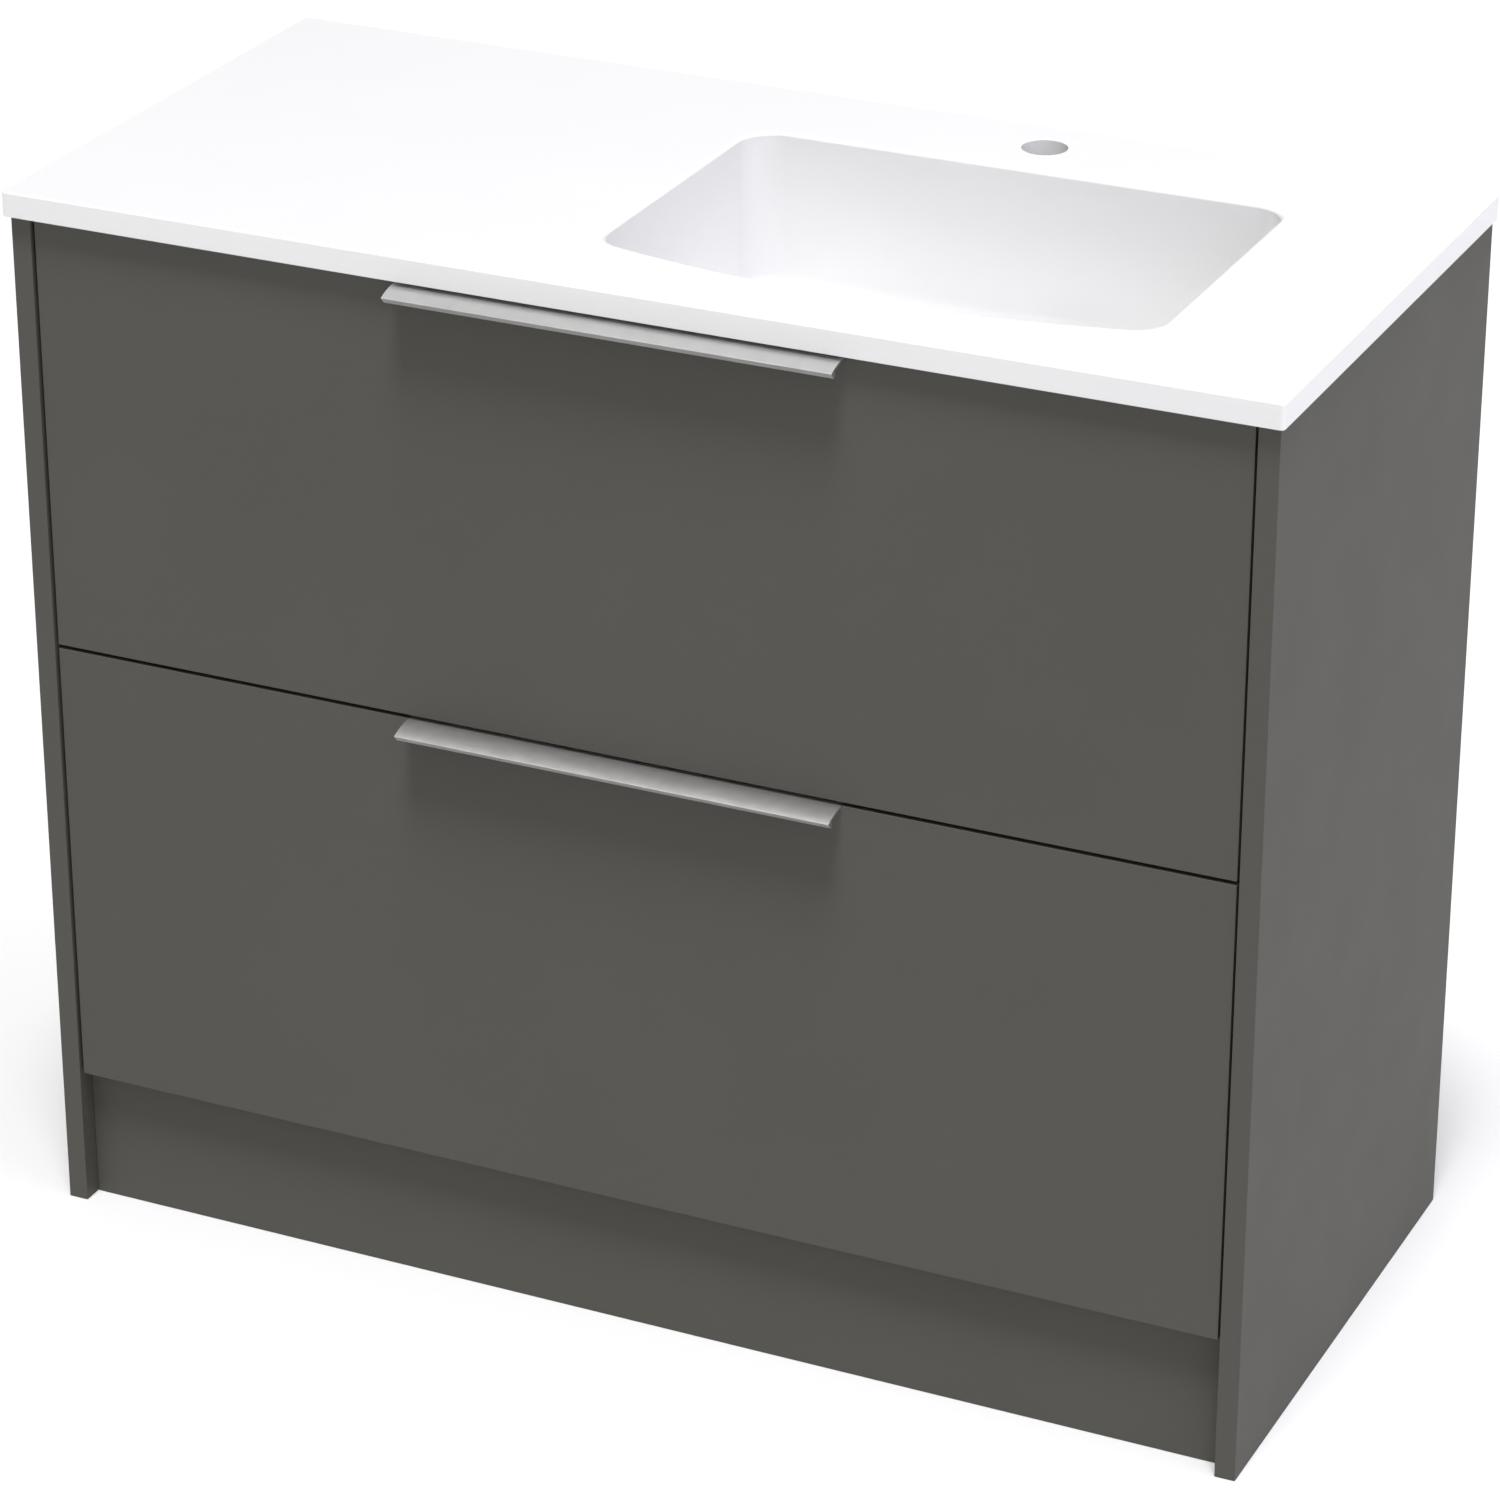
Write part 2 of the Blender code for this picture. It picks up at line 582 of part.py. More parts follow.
def build_front(prefix, low, high, carrier, grey, aluminium, zinc, rubber):
    """A drawer front with its handle, the handle's screws and the two bumpers."""
    name = f"{prefix}_drawer"
    corners = (-FRONT_HALF, FACE, low), (FRONT_HALF, FACE_BACK, high)
    front = add_piece(f"{name}_front", box(*corners), grey, parent=carrier)
    half = HANDLE_LENGTH / 2
    outline = [(-half, FACE - reach, high + rise) for reach, rise in handle_section()]
    strip = extrusion(outline, (HANDLE_LENGTH, 0, 0))
    handle = add_piece(f"{name}_handle", strip, aluminium, parent=carrier, smooth=True)
    rebate_half = half + CLEARANCE
    rebate_floor = high - HANDLE_SHEET - CLEARANCE
    rebate_ends = (FACE - BOARD, FACE_BACK + BOARD)
    rebate = box(
        (-rebate_half, rebate_ends[0], rebate_floor), (rebate_half, rebate_ends[1], high + BOARD)
    )
    combine(front, add_helper(f"cut_{prefix}_handle_rebate", rebate, carrier), "DIFFERENCE")
    flange_back = FACE_BACK + CLEARANCE + HANDLE_SHEET
    hole_radius = SCREW_RADIUS + CLEARANCE
    for place, x in SCREW_X.items():
        head_seat = Vector((x, flange_back + CLEARANCE, high - SCREW_DROP))
        tip = head_seat - Vector((0, SCREW_LENGTH, 0))
        hole_start = tip - Vector((0, CLEARANCE, 0))
        hole = cylinder(hole_start, hole_radius, 2 * BOARD, (0, 1, 0), SCREW_STEPS)
        pilot = add_helper(f"cut_{prefix}_screw_{place}", hole, carrier)
        combine(front, pilot, "DIFFERENCE")
        combine(handle, pilot, "DIFFERENCE")
        add_piece(f"{prefix}_handle_screw_{place}", screw(head_seat), zinc, parent=carrier)
    bumper_z = BOTTOM_HEIGHT + BOARD / 2
    if prefix == "upper":
        bumper_z = PANEL_TOP - TOP_RAIL_THICKNESS / 2
    pad_length = CARCASS_GAP - 2 * CLEARANCE
    for side, sign in (("left", -1), ("right", 1)):
        start = (sign * BUMPER_X, FACE_BACK + CLEARANCE, bumper_z)
        pad = cylinder(start, BUMPER_RADIUS, pad_length, (0, 1, 0), SCREW_STEPS)
        add_piece(f"{name}_bumper_{side}", pad, rubber, parent=carrier)


def screw(head_seat):
    """A pan-head screw pointing forwards, seated at the given point."""
    section = [(0, SCREW_HEAD_HEIGHT)]
    section += [(SCREW_HEAD_RADIUS * r, SCREW_HEAD_HEIGHT * z) for r, z in SCREW_HEAD_SHAPE]
    section += [
        (SCREW_HEAD_RADIUS, 0),
        (SCREW_RADIUS, 0),
        (SCREW_RADIUS, SCREW_POINT - SCREW_LENGTH),
        (0, -SCREW_LENGTH),
    ]
    bm = turned(section, (0, 0, 0), closed=False)
    bm.transform(Matrix.Translation(head_seat) @ Matrix.Rotation(-math.pi / 2, 4, "X"))
    return bm


# ---------------------------------------------------------------- drawer boxes
def build_box(prefix, base, carrier, pale, recess):
    """Grooved sides, a bottom sheet and the back, with a recess for the plumbing where asked."""
    name = f"{prefix}_drawer"
    groove_low = base + GROOVE_RISE
    groove_high = groove_low + BOTTOM_SHEET + 2 * CLEARANCE
    inner = BOX_INNER
    groove_half = inner + GROOVE_DEPTH
    groove_ends = (BOX_FRONT - BOARD, BOX_BACK + BOARD)
    groove = box(
        (-groove_half, groove_ends[0], groove_low), (groove_half, groove_ends[1], groove_high)
    )
    cutter = add_helper(f"cut_{prefix}_groove", groove, carrier)
    for side, sign in (("left", -1), ("right", 1)):
        near, far = sorted((sign * inner, sign * BOX_HALF))
        low, high = (near, BOX_FRONT, base), (far, BOX_BACK, base + SIDE_HEIGHT)
        piece = add_piece(f"{name}_{side}_side", box(low, high), pale, parent=carrier)
        combine(piece, cutter, "DIFFERENCE")

    sheet_half = groove_half - CLEARANCE
    sheet_low = groove_low + CLEARANCE
    sheet_top = sheet_low + BOTTOM_SHEET
    sheet = box((-sheet_half, BOX_FRONT, sheet_low), (sheet_half, BOX_BACK, sheet_top))
    bottom = add_piece(f"{name}_bottom", sheet, pale, parent=carrier)
    wall_low = sheet_top + CLEARANCE
    wall_high = base + SIDE_HEIGHT - BACK_DROP
    back_front = BOX_BACK - RECESS_BOARD
    reach = inner - CLEARANCE
    walls = {"back": (-reach, back_front, reach, BOX_BACK)}
    if recess:
        walls = recess_walls(reach, back_front)
        notch_low = (BASIN_X - RECESS_HALF_WIDTH, RECESS_FRONT, sheet_low - BOTTOM_SHEET)
        notch_high = (BASIN_X + RECESS_HALF_WIDTH, BOX_BACK + BOARD, sheet_top + BOTTOM_SHEET)
        notch = add_helper("cut_plumbing_notch", box(notch_low, notch_high), carrier)
        combine(bottom, notch, "DIFFERENCE")
    for part, (left, front, right, back) in walls.items():
        shape = box((left, front, wall_low), (right, back, wall_high))
        add_piece(f"{name}_{part}", shape, pale, parent=carrier)


def recess_walls(reach, back_front):
    """Plan (left, front, right, back) of the boards round the plumbing recess."""
    left, right = BASIN_X - RECESS_HALF_WIDTH, BASIN_X + RECESS_HALF_WIDTH
    front = RECESS_FRONT - RECESS_BOARD
    return {
        "recess_left": (left - RECESS_BOARD, front, left, BOX_BACK),
        "recess_right": (right, front, right + RECESS_BOARD, BOX_BACK),
        "recess_front": (left + CLEARANCE, front, right - CLEARANCE, RECESS_FRONT),
        "back_left": (-reach, back_front, left - RECESS_BOARD - CLEARANCE, BOX_BACK),
        "back_right": (right + RECESS_BOARD + CLEARANCE, back_front, reach, BOX_BACK),
    }


# ---------------------------------------------------------------- runners
def channel(sign, web, flange_end, height, member, middle_z):
    """A steel channel lying along Y: web and flange_end are distances in from the end panel."""
    step = RUNNER_STEEL if flange_end > web else -RUNNER_STEEL
    half = height / 2
    outline = [
        (web, half),
        (flange_end, half),
        (flange_end, half - RUNNER_STEEL),
        (web + step, half - RUNNER_STEEL),
        (web + step, RUNNER_STEEL - half),
        (flange_end, RUNNER_STEEL - half),
        (flange_end, -half),
        (web, -half),
    ]
    front = FACE_BACK + member["front"]
    points = [(sign * (INNER_HALF - x), front, middle_z + z) for x, z in outline]
    return extrusion(points, (0, member["length"], 0))


def build_runner(prefix, side, sign, base, carrier, zinc):
    """Cabinet, middle and drawer members, nested with room for the balls between them."""
    name = f"{prefix}_{side}_runner"
    middle_z = base + RUNNER_RISE
    drawer_web = RUNNER_SPACE - CLEARANCE
    sizes = (
        ("cabinet", CABINET_MEMBER, CLEARANCE, CABINET_FLANGE + CLEARANCE, None),
        ("middle", MIDDLE_MEMBER, MIDDLE_OFFSET, MIDDLE_OFFSET + MIDDLE_FLANGE, None),
        ("drawer", DRAWER_MEMBER, drawer_web, drawer_web - DRAWER_FLANGE, carrier),
    )
    for part, member, web, flange_end, parent in sizes:
        shape = channel(sign, web, flange_end, member["height"], member, middle_z)
        length = member["length"]
        origin = (sign * (INNER_HALF - web), FACE_BACK + member["front"] + length / 2, middle_z)
        add_piece(f"{name}_{part}_member", shape, zinc, origin, parent)


# ---------------------------------------------------------------- assembly
def build():
    clear_scene()
    grey = make_material("grey_lacquered_board", (0.100, 0.098, 0.084), 0.45)
    white = make_material("white_mineral_cast", (0.86, 0.87, 0.88), 0.12)
    pale = make_material("pale_grey_melamine", (0.55, 0.55, 0.53), 0.5)
    aluminium = make_material("brushed_aluminium", (0.60, 0.60, 0.58), 0.35, 1.0)
    zinc = make_material("zinc_plated_steel", (0.55, 0.56, 0.57), 0.35, 1.0)
    chrome = make_material("chrome_plate", (0.75, 0.76, 0.77), 0.08, 1.0)
    rubber = make_material("black_rubber", (0.02, 0.02, 0.02), 0.7)

    build_cabinet(grey, zinc)
    build_top(white)
    build_waste_body(chrome)
    build_waste_fixings(chrome, rubber)
    build_plug(chrome)
    drawers = (
        ("upper", UPPER_BOX_BASE, UPPER_FRONT_BOTTOM, UPPER_FRONT_TOP, True),
        ("lower", LOWER_BOX_BASE, LOWER_FRONT_BOTTOM, LOWER_FRONT_TOP, False),
    )
    for prefix, base, low, high, recess in drawers:
        carrier = add_carrier(f"{prefix}_drawer", (0, FACE, base + RUNNER_RISE))
        build_front(prefix, low, high, carrier, grey, aluminium, zinc, rubber)
        build_box(prefix, base, carrier, pale, recess)
        for side, sign in (("left", -1), ("right", 1)):
            build_runner(prefix, side, sign, base, carrier, zinc)


build()
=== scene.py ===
"""Looks of the bathroom vanity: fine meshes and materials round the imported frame, and a studio."""

import math

import bmesh
import bpy
from mathutils import Matrix, Vector
from mathutils.geometry import tessellate_polygon


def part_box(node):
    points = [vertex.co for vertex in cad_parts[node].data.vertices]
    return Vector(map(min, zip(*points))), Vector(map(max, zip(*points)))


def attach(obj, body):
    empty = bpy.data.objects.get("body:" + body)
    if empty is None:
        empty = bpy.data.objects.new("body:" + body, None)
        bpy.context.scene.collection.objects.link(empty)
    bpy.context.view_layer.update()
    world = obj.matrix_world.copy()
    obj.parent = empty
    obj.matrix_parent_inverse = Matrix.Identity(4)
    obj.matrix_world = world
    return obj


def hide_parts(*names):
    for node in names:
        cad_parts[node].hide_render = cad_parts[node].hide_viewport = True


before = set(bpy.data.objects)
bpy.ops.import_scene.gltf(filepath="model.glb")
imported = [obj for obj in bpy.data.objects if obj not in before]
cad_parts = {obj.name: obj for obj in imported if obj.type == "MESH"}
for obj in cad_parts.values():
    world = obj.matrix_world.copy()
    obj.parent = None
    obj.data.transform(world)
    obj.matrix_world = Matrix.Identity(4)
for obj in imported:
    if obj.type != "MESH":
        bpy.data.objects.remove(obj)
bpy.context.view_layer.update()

MM = 0.001
QUARTER = math.pi / 2
CLEARANCE = 0.3 * MM
DRAWERS = ("upper", "lower")
SIDES = {"left": -1, "right": 1}
BACKWARDS, FORWARDS = (0, 1, 0), (0, -1, 0)
UPWARDS, DOWNWARDS = (0, 0, 1), (0, 0, -1)

# ---------------------------------------------------------------- places read from the frame
slab_low, slab_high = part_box("vanity_top")
panel_low, panel_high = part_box("right_end_panel")
waste_low, waste_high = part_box("waste_body")
HEIGHT = slab_high.z
TOP_UNDER = panel_high.z + CLEARANCE
WASTE_X = (waste_low.x + waste_high.x) / 2
WASTE_Y = (waste_low.y + waste_high.y) / 2

# ---------------------------------------------------------------- top and basin
BASIN_HALF_WIDTH = 216.5 * MM
BASIN_HALF_DEPTH = 149.75 * MM
WASTE_BEHIND_MIDDLE = 10 * MM
BASIN_BOW_RADIUS = 850 * MM
BASIN_CORNER = 26 * MM
BASIN_CORNER_GROWTH = 0.6  # plan corners open out as the bowl narrows
BASIN_RIM = 2.5 * MM
BASIN_WALL_DEPTH = 110 * MM
BASIN_WALL_INSET = 3 * MM
BASIN_WALL_SHARES = (0.3, 0.65)  # rings down the wall, between the rim and the turn
BASIN_TURN_WIDTH = 40 * MM
BASIN_TURN_DEPTH = 40 * MM
BASIN_FLOOR_FALL = 5 * MM
BASIN_FLOOR_DISH = 1.5  # the power by which the floor falls towards the waste
BASIN_SHELL = 8 * MM
SHELL_FLARE = 4 * MM
SHELL_FILLET = 4 * MM
SEAT_RADIUS = 33 * MM
SEAT_FALL = 2 * MM
SEAT_CHAMFER = 0.3 * MM
BOSS_RADIUS = 37 * MM
BOSS_FILLET = 1 * MM
BOSS_CHAMFER = 0.5 * MM
WASTE_HOLE_RADIUS = 23 * MM
TAP_RADIUS = 17.5 * MM
TAP_FROM_BACK = 44.5 * MM
TAP_CHAMFER = 0.6 * MM
TAP_CHAMFER_BEND = 0.3  # where the chamfer turns, as a share of its size
SLAB_CORNER = 3 * MM
SLAB_UPPER_EDGE = 1.1 * MM
SLAB_LOWER_EDGE = 0.4 * MM

CORNER_STEPS = 12
BOW_STEPS = 40
SIDE_STEPS = 14
TURN_STEPS = 18
RIM_STEPS = 6
EDGE_STEPS = 5
LOWER_EDGE_STEPS = 2
FLOOR_RINGS = 8
ROUND_STEPS = 64
SMALL_ROUND_STEPS = 32
TOP_SHARP = 40  # degrees between faces that still look smooth


# ---------------------------------------------------------------- mesh helpers
def arc(centre, radius, start, end, steps):
    """Points of an arc, both ends included, with angles in radians."""
    angles = [start + (end - start) * i / steps for i in range(steps + 1)]
    return [(centre[0] + radius * math.cos(a), centre[1] + radius * math.sin(a)) for a in angles]


def between(start, end, steps):
    """Points that divide a straight line, both ends left out."""
    shares = [i / steps for i in range(1, steps)]
    return [tuple(a + (b - a) * t for a, b in zip(start, end)) for t in shares]


def add_loop(bm, points):
    return [bm.verts.new(p) for p in points]


def bridge(bm, first, second):
    """Quads between two closed loops with the same number of vertices."""
    for i in range(len(first)):
        j = (i + 1) % len(first)
        bm.faces.new((first[i], first[j], second[j], second[i]))


def bridge_all(bm, loops):
    for first, second in zip(loops, loops[1:]):
        bridge(bm, first, second)


def fill_flat(bm, loops):
    """Fills a flat region: its outline first, then the holes in it."""
    flat = [v for loop in loops for v in loop]
    for triangle in tessellate_polygon([[v.co.copy() for v in loop] for loop in loops]):
        bm.faces.new([flat[i] for i in triangle])


def circle(centre, radius, steps=ROUND_STEPS):
    turns = [2 * math.pi * i / steps for i in range(steps)]
    return [Vector(centre) + Vector((radius * math.cos(a), radius * math.sin(a), 0)) for a in turns]


def turn(bm, profile, centre=(0, 0, 0), steps=ROUND_STEPS, closed=False):
    """Spins (radius, height) points round the vertical through centre; radius 0 is a pole."""
    rings = []
    for radius, height in profile:
        middle = Vector(centre) + Vector((0, 0, height))
        rings.append(add_loop(bm, [middle] if radius == 0 else circle(middle, radius, steps)))
    pairs = list(zip(rings, rings[1:]))
    if closed:
        pairs.append((rings[-1], rings[0]))
    for first, second in pairs:
        if len(first) == len(second):
            bridge(bm, first, second)
            continue
        pole, ring = (first, second) if len(first) == 1 else (second, first)
        for i in range(steps):
            bm.faces.new((pole[0], ring[i], ring[(i + 1) % steps]))


def extrude(bm, outline, travel):
    """A closed flat outline carried along a straight line, filled at both ends."""
    near = add_loop(bm, outline)
    far = add_loop(bm, [Vector(p) + Vector(travel) for p in outline])
    bridge(bm, near, far)
    bm.faces.new(near)
    bm.faces.new(far)


def make_mesh(name, bm, material, sharp):
    """A smooth-shaded mesh with a crease wherever faces meet at more than sharp degrees."""
    bmesh.ops.recalc_face_normals(bm, faces=bm.faces)
    mesh = bpy.data.meshes.new(name)
    bm.to_mesh(mesh)
    bm.free()
    mesh.shade_smooth()
    mesh.set_sharp_from_angle(angle=math.radians(sharp))
    mesh.materials.append(material)
    return mesh


def add_object(name, mesh):
    made = bpy.data.objects.new(name, mesh)
    bpy.context.scene.collection.objects.link(made)
    return made


def add_piece(name, mesh, body, stands_for=(), place=None):
    """Links a mesh, lets it ride on a body, and hides the nodes that it stands for."""
    piece = add_object(name, mesh)
    if place is not None:
        piece.matrix_world = place
    weights = piece.modifiers.new("weighted_normals", "WEIGHTED_NORMAL")
    weights.keep_sharp = True
    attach(piece, body)
    if stands_for:
        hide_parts(*stands_for)
    return piece


def round_edges(piece, width, segments, angle=35):
    """A small bevel on every edge sharper than the angle."""
    bevel = piece.modifiers.new("rounded_edges", "BEVEL")
    bevel.width = width
    bevel.segments = segments
    bevel.limit_method = "ANGLE"
    bevel.angle_limit = math.radians(angle)
    bevel.use_clamp_overlap = True


def round_first(piece, width, segments):
    """Rounded edges, put ahead of the weighted normals."""
    piece.modifiers.clear()
    round_edges(piece, width, segments, angle=30)
    piece.modifiers.new("weighted_normals", "WEIGHTED_NORMAL")


def cut(mesh, cutter_mesh):
    """The mesh with the cutter's shape taken out of it."""
    target = add_object("being_cut", mesh)
    cutter = add_object("cutter", cutter_mesh)
    boolean = target.modifiers.new("cut", "BOOLEAN")
    boolean.operation = "DIFFERENCE"
    boolean.solver = "EXACT"
    boolean.object = cutter
    bpy.context.view_layer.update()
    graph = bpy.context.evaluated_depsgraph_get()
    result = bpy.data.meshes.new_from_object(target.evaluated_get(graph))
    result.name = mesh.name
    bpy.data.objects.remove(target)
    bpy.data.objects.remove(cutter)
    return result


# ---------------------------------------------------------------- material helpers
MIX_FACTOR, MIX_FIRST, MIX_SECOND, MIX_RESULT = 0, 6, 7, 2  # a colour Mix node's sockets
SQUARE_ON = 0.9  # the cosine above which a face counts as looking along an axis


class Texture:
    """Adds procedural textures to one material, laid out in the row frame's metres."""

    def __init__(self, material):
        self.tree = material.node_tree
        self.shader = self.tree.nodes["Principled BSDF"]
        self.place = self.add("ShaderNodeTexCoord").outputs["Object"]

    def add(self, kind, **settings):
        node = self.tree.nodes.new(kind)
        for name, value in settings.items():
            setattr(node, name, value)
        return node

    def plug(self, source, socket):
        """Links a source socket, or sets a plain value."""
        if isinstance(source, bpy.types.NodeSocket):
            self.tree.links.new(source, socket)
        else:
            socket.default_value = source

    def feed(self, node, **sources):
        """Links outputs into the node's inputs, or sets them to values, by socket name."""
        for name, source in sources.items():
            self.plug(source, node.inputs[name.replace("_", " ").title()])
        return node

    def stretch(self, scale):
        """The coordinates scaled separately along X, Y and Z."""
        return self.feed(self.add("ShaderNodeMapping"), vector=self.place, scale=scale).outputs[0]

    def noise(self, scale, detail=2.0, vector=None):
        node = self.add("ShaderNodeTexNoise")
        self.feed(node, vector=vector or self.place, scale=scale, detail=detail)
        return node.outputs["Fac"]

    def cells(self, scale, vector=None):
        """A random colour for each cell of a Voronoi pattern."""
        node = self.add("ShaderNodeTexVoronoi")
        self.feed(node, vector=vector or self.place, scale=scale)
        return node

    def spread(self, value, low, high, start=0.3, end=0.7):
        """A texture's usual range moved to low..high."""
        node = self.add("ShaderNodeMapRange")
        self.feed(node, value=value, from_min=start, from_max=end, to_min=low, to_max=high)
        return node.outputs["Result"]

    def maths(self, operation, first, second=0.0):
        node = self.add("ShaderNodeMath", operation=operation)
        for socket, source in zip(node.inputs, (first, second)):
            self.plug(source, socket)
        return node.outputs[0]

    def mix(self, share, first, second):
        """A blend of two colours, each one a socket or an RGB triple."""
        node = self.add("ShaderNodeMix", data_type="RGBA")
        self.plug(share, node.inputs[MIX_FACTOR])
        for index, source in ((MIX_FIRST, first), (MIX_SECOND, second)):
            opaque = (*source, 1.0) if isinstance(source, tuple) else source
            self.plug(opaque, node.inputs[index])
        return node.outputs[MIX_RESULT]

    def faces_towards(self, axis):
        """1 on faces that look along the axis, 0 elsewhere."""
        normal = self.add("ShaderNodeNewGeometry").outputs["Normal"]
        dot = self.add("ShaderNodeVectorMath", operation="DOT_PRODUCT")
        self.tree.links.new(normal, dot.inputs[0])
        dot.inputs[1].default_value = axis
        return self.maths("GREATER_THAN", dot.outputs["Value"], SQUARE_ON)

    def bump(self, height, distance, strength=1.0):
        node = self.add("ShaderNodeBump")
        self.feed(node, height=height, distance=distance, strength=strength)
        return node.outputs["Normal"]

    def use(self, **sources):
        """Links textures to the shader: base_color, roughness or normal."""
        self.feed(self.shader, **sources)


def tinted(colour, factor):
    return tuple(c * factor for c in colour)


def new_material(name, colour, roughness, metallic=0.0, uniform=None):
    material = bpy.data.materials.new(name)
    material.use_nodes = True
    shader = material.node_tree.nodes["Principled BSDF"]
    shader.inputs["Base Color"].default_value = (*colour, 1.0)
    shader.inputs["Roughness"].default_value = roughness
    shader.inputs["Metallic"].default_value = metallic
    for socket, value in (uniform or {}).items():
        shader.inputs[socket].default_value = value
    return material


# ---------------------------------------------------------------- materials
GREY = (0.0950, 0.0922, 0.0821)
# painted shade: the front grey about a tenth darker, for the end panels' faces other than their
# forward edges, offsetting the light from the right
PANEL_SHADED_GREY = (0.0865, 0.084, 0.075)
PALE = (0.465, 0.465, 0.447)
WHITE = (0.80, 0.80, 0.80)
ALUMINIUM = (0.63, 0.623, 0.617)
ZINC = (0.47, 0.485, 0.50)
CHROME = (0.72, 0.73, 0.74)
RUBBER = (0.016, 0.016, 0.017)
CHIP_LIGHT = (0.50, 0.37, 0.22)
CHIP_DARK = (0.26, 0.17, 0.09)
CHIP_GLUE = (0.36, 0.27, 0.17)
CHIP_ROUGHNESS = 0.85
BOARD_SPECULAR = 0.055
ANODISED_METALNESS = 0.92


def chipboard(texture):
    """Cut chipboard: flakes of wood of many shades, pressed flat, with specks of shadow."""
    flakes = texture.cells(scale=420.0, vector=texture.stretch((1.0, 1.0, 1.6)))
    shade = texture.add("ShaderNodeSeparateColor")
    texture.feed(shade, color=flakes.outputs["Color"])
    wood = texture.mix(shade.outputs["Red"], CHIP_DARK, CHIP_LIGHT)
    glue = texture.spread(texture.noise(scale=60.0), low=0.1, high=0.5)
    wood = texture.mix(glue, wood, CHIP_GLUE)
    relief = texture.noise(scale=900.0, detail=3.0)
    return wood, texture.bump(relief, distance=0.3 * MM, strength=0.8)


def board(name, colour, roughness, raw_faces=(), grain=0.02, front_face_colour=None):
    """Coated board: an even film with the faintest cloud and speckle, raw cut faces, and, where a
    front colour is given, that colour on the faces that look forwards while the other faces keep the
    board's colour."""
    material = new_material(
        name, colour, roughness, uniform={"Specular IOR Level": BOARD_SPECULAR}
    )
    texture = Texture(material)
    dark, light = 1 - grain, 1 + grain
    cloud = texture.spread(texture.noise(scale=7.0, detail=3.0), dark, light)
    speck = texture.spread(texture.noise(scale=1500.0, detail=1.0), dark, light)
    both = texture.maths("MULTIPLY", cloud, speck)
    shade = texture.spread(both, low=0.0, high=1.0, start=dark, end=light)
    film = texture.mix(shade, tinted(colour, dark), tinted(colour, light))
    patches = texture.noise(scale=14.0, detail=3.0)
    gloss = texture.spread(patches, low=roughness - 0.02, high=roughness + 0.03)
    skin = texture.bump(texture.noise(scale=420.0, detail=2.0), distance=0.02 * MM, strength=0.5)
    # forward faces take the given front colour; on the end panels the other faces carry a
    # painted-shade darker copy of it
    if front_face_colour:
        film = texture.mix(texture.faces_towards(FORWARDS), film, front_face_colour)
    if raw_faces:
        wood, wood_skin = chipboard(texture)
        mask = texture.faces_towards(raw_faces[0])
        for axis in raw_faces[1:]:
            mask = texture.maths("MAXIMUM", mask, texture.faces_towards(axis))
        film = texture.mix(mask, film, wood)
        gloss = texture.maths("MAXIMUM", gloss, texture.maths("MULTIPLY", mask, CHIP_ROUGHNESS))
        skin = texture.mix(mask, skin, wood_skin)
    texture.use(base_color=film, roughness=gloss, normal=skin)
    return material


def mineral_cast():
    """White cast with a glossy gel coat."""
    coat = {"Coat Weight": 0.15, "Coat Roughness": 0.05}
    material = new_material("white_gel_coat", WHITE, roughness=0.16, uniform=coat)
    texture = Texture(material)
    cloud = texture.spread(texture.noise(scale=9.0, detail=2.0), low=0.0, high=1.0)
    film = texture.mix(cloud, tinted(WHITE, 0.993), tinted(WHITE, 1.004))
    gloss = texture.spread(texture.noise(scale=25.0, detail=3.0), low=0.15, high=0.175)
    skin = texture.bump(texture.noise(scale=70.0, detail=1.0), distance=0.02 * MM, strength=0.25)
    texture.use(base_color=film, roughness=gloss, normal=skin)
    return material


def brushed_metal():
    """Aluminium finely brushed along the handle and anodised: hair lines in colour, gloss and
    relief, under a faint cloud."""
    roughness = 0.40
    material = new_material("satin_aluminium", ALUMINIUM, roughness, ANODISED_METALNESS)
    texture = Texture(material)
    along_x = texture.stretch((30.0, 3500.0, 3500.0))
    hair = texture.noise(scale=1.0, detail=3.0, vector=along_x)
    cloud = texture.noise(scale=130.0, detail=3.0)
    hair_share = texture.maths("MULTIPLY", hair, 0.65)
    cloud_share = texture.maths("MULTIPLY", cloud, 0.35)
    shade = texture.maths("ADD", hair_share, cloud_share)
    tint = texture.spread(shade, low=0.0, high=1.0)
    metal = texture.mix(tint, tinted(ALUMINIUM, 0.96), tinted(ALUMINIUM, 1.03))
    gloss = texture.spread(shade, low=roughness - 0.04, high=roughness + 0.04)
    relief = texture.bump(hair, distance=0.004 * MM, strength=0.5)
    texture.use(base_color=metal, roughness=gloss, normal=relief)
    return material


def zinc_plate():
    """Rolled steel with a thin zinc coat: cloudy, bluish, with faint rolling lines."""
    material = new_material("zinc_plated_steel", ZINC, roughness=0.34, metallic=1.0)
    texture = Texture(material)
    cloud = texture.noise(scale=45.0, detail=4.0)
    along_y = texture.stretch((1200.0, 9.0, 1200.0))
    lines = texture.noise(scale=1.0, detail=2.0, vector=along_y)
    tint = texture.spread(cloud, low=0.0, high=1.0)
    metal = texture.mix(tint, tinted(ZINC, 0.86), tinted(ZINC, 1.16))
    gloss = texture.spread(cloud, low=0.28, high=0.42)
    relief = texture.bump(lines, distance=0.02 * MM, strength=0.4)
    texture.use(base_color=metal, roughness=gloss, normal=relief)
    return material


def chrome_plate():
    """Polished chrome with slight handling haze."""
    material = new_material("chrome_plate", CHROME, roughness=0.07, metallic=1.0)
    texture = Texture(material)
    haze = texture.noise(scale=60.0, detail=4.0)
    tint = texture.spread(haze, low=0.0, high=1.0)
    metal = texture.mix(tint, tinted(CHROME, 0.97), tinted(CHROME, 1.02))
    texture.use(base_color=metal, roughness=texture.spread(haze, low=0.05, high=0.12))
    return material


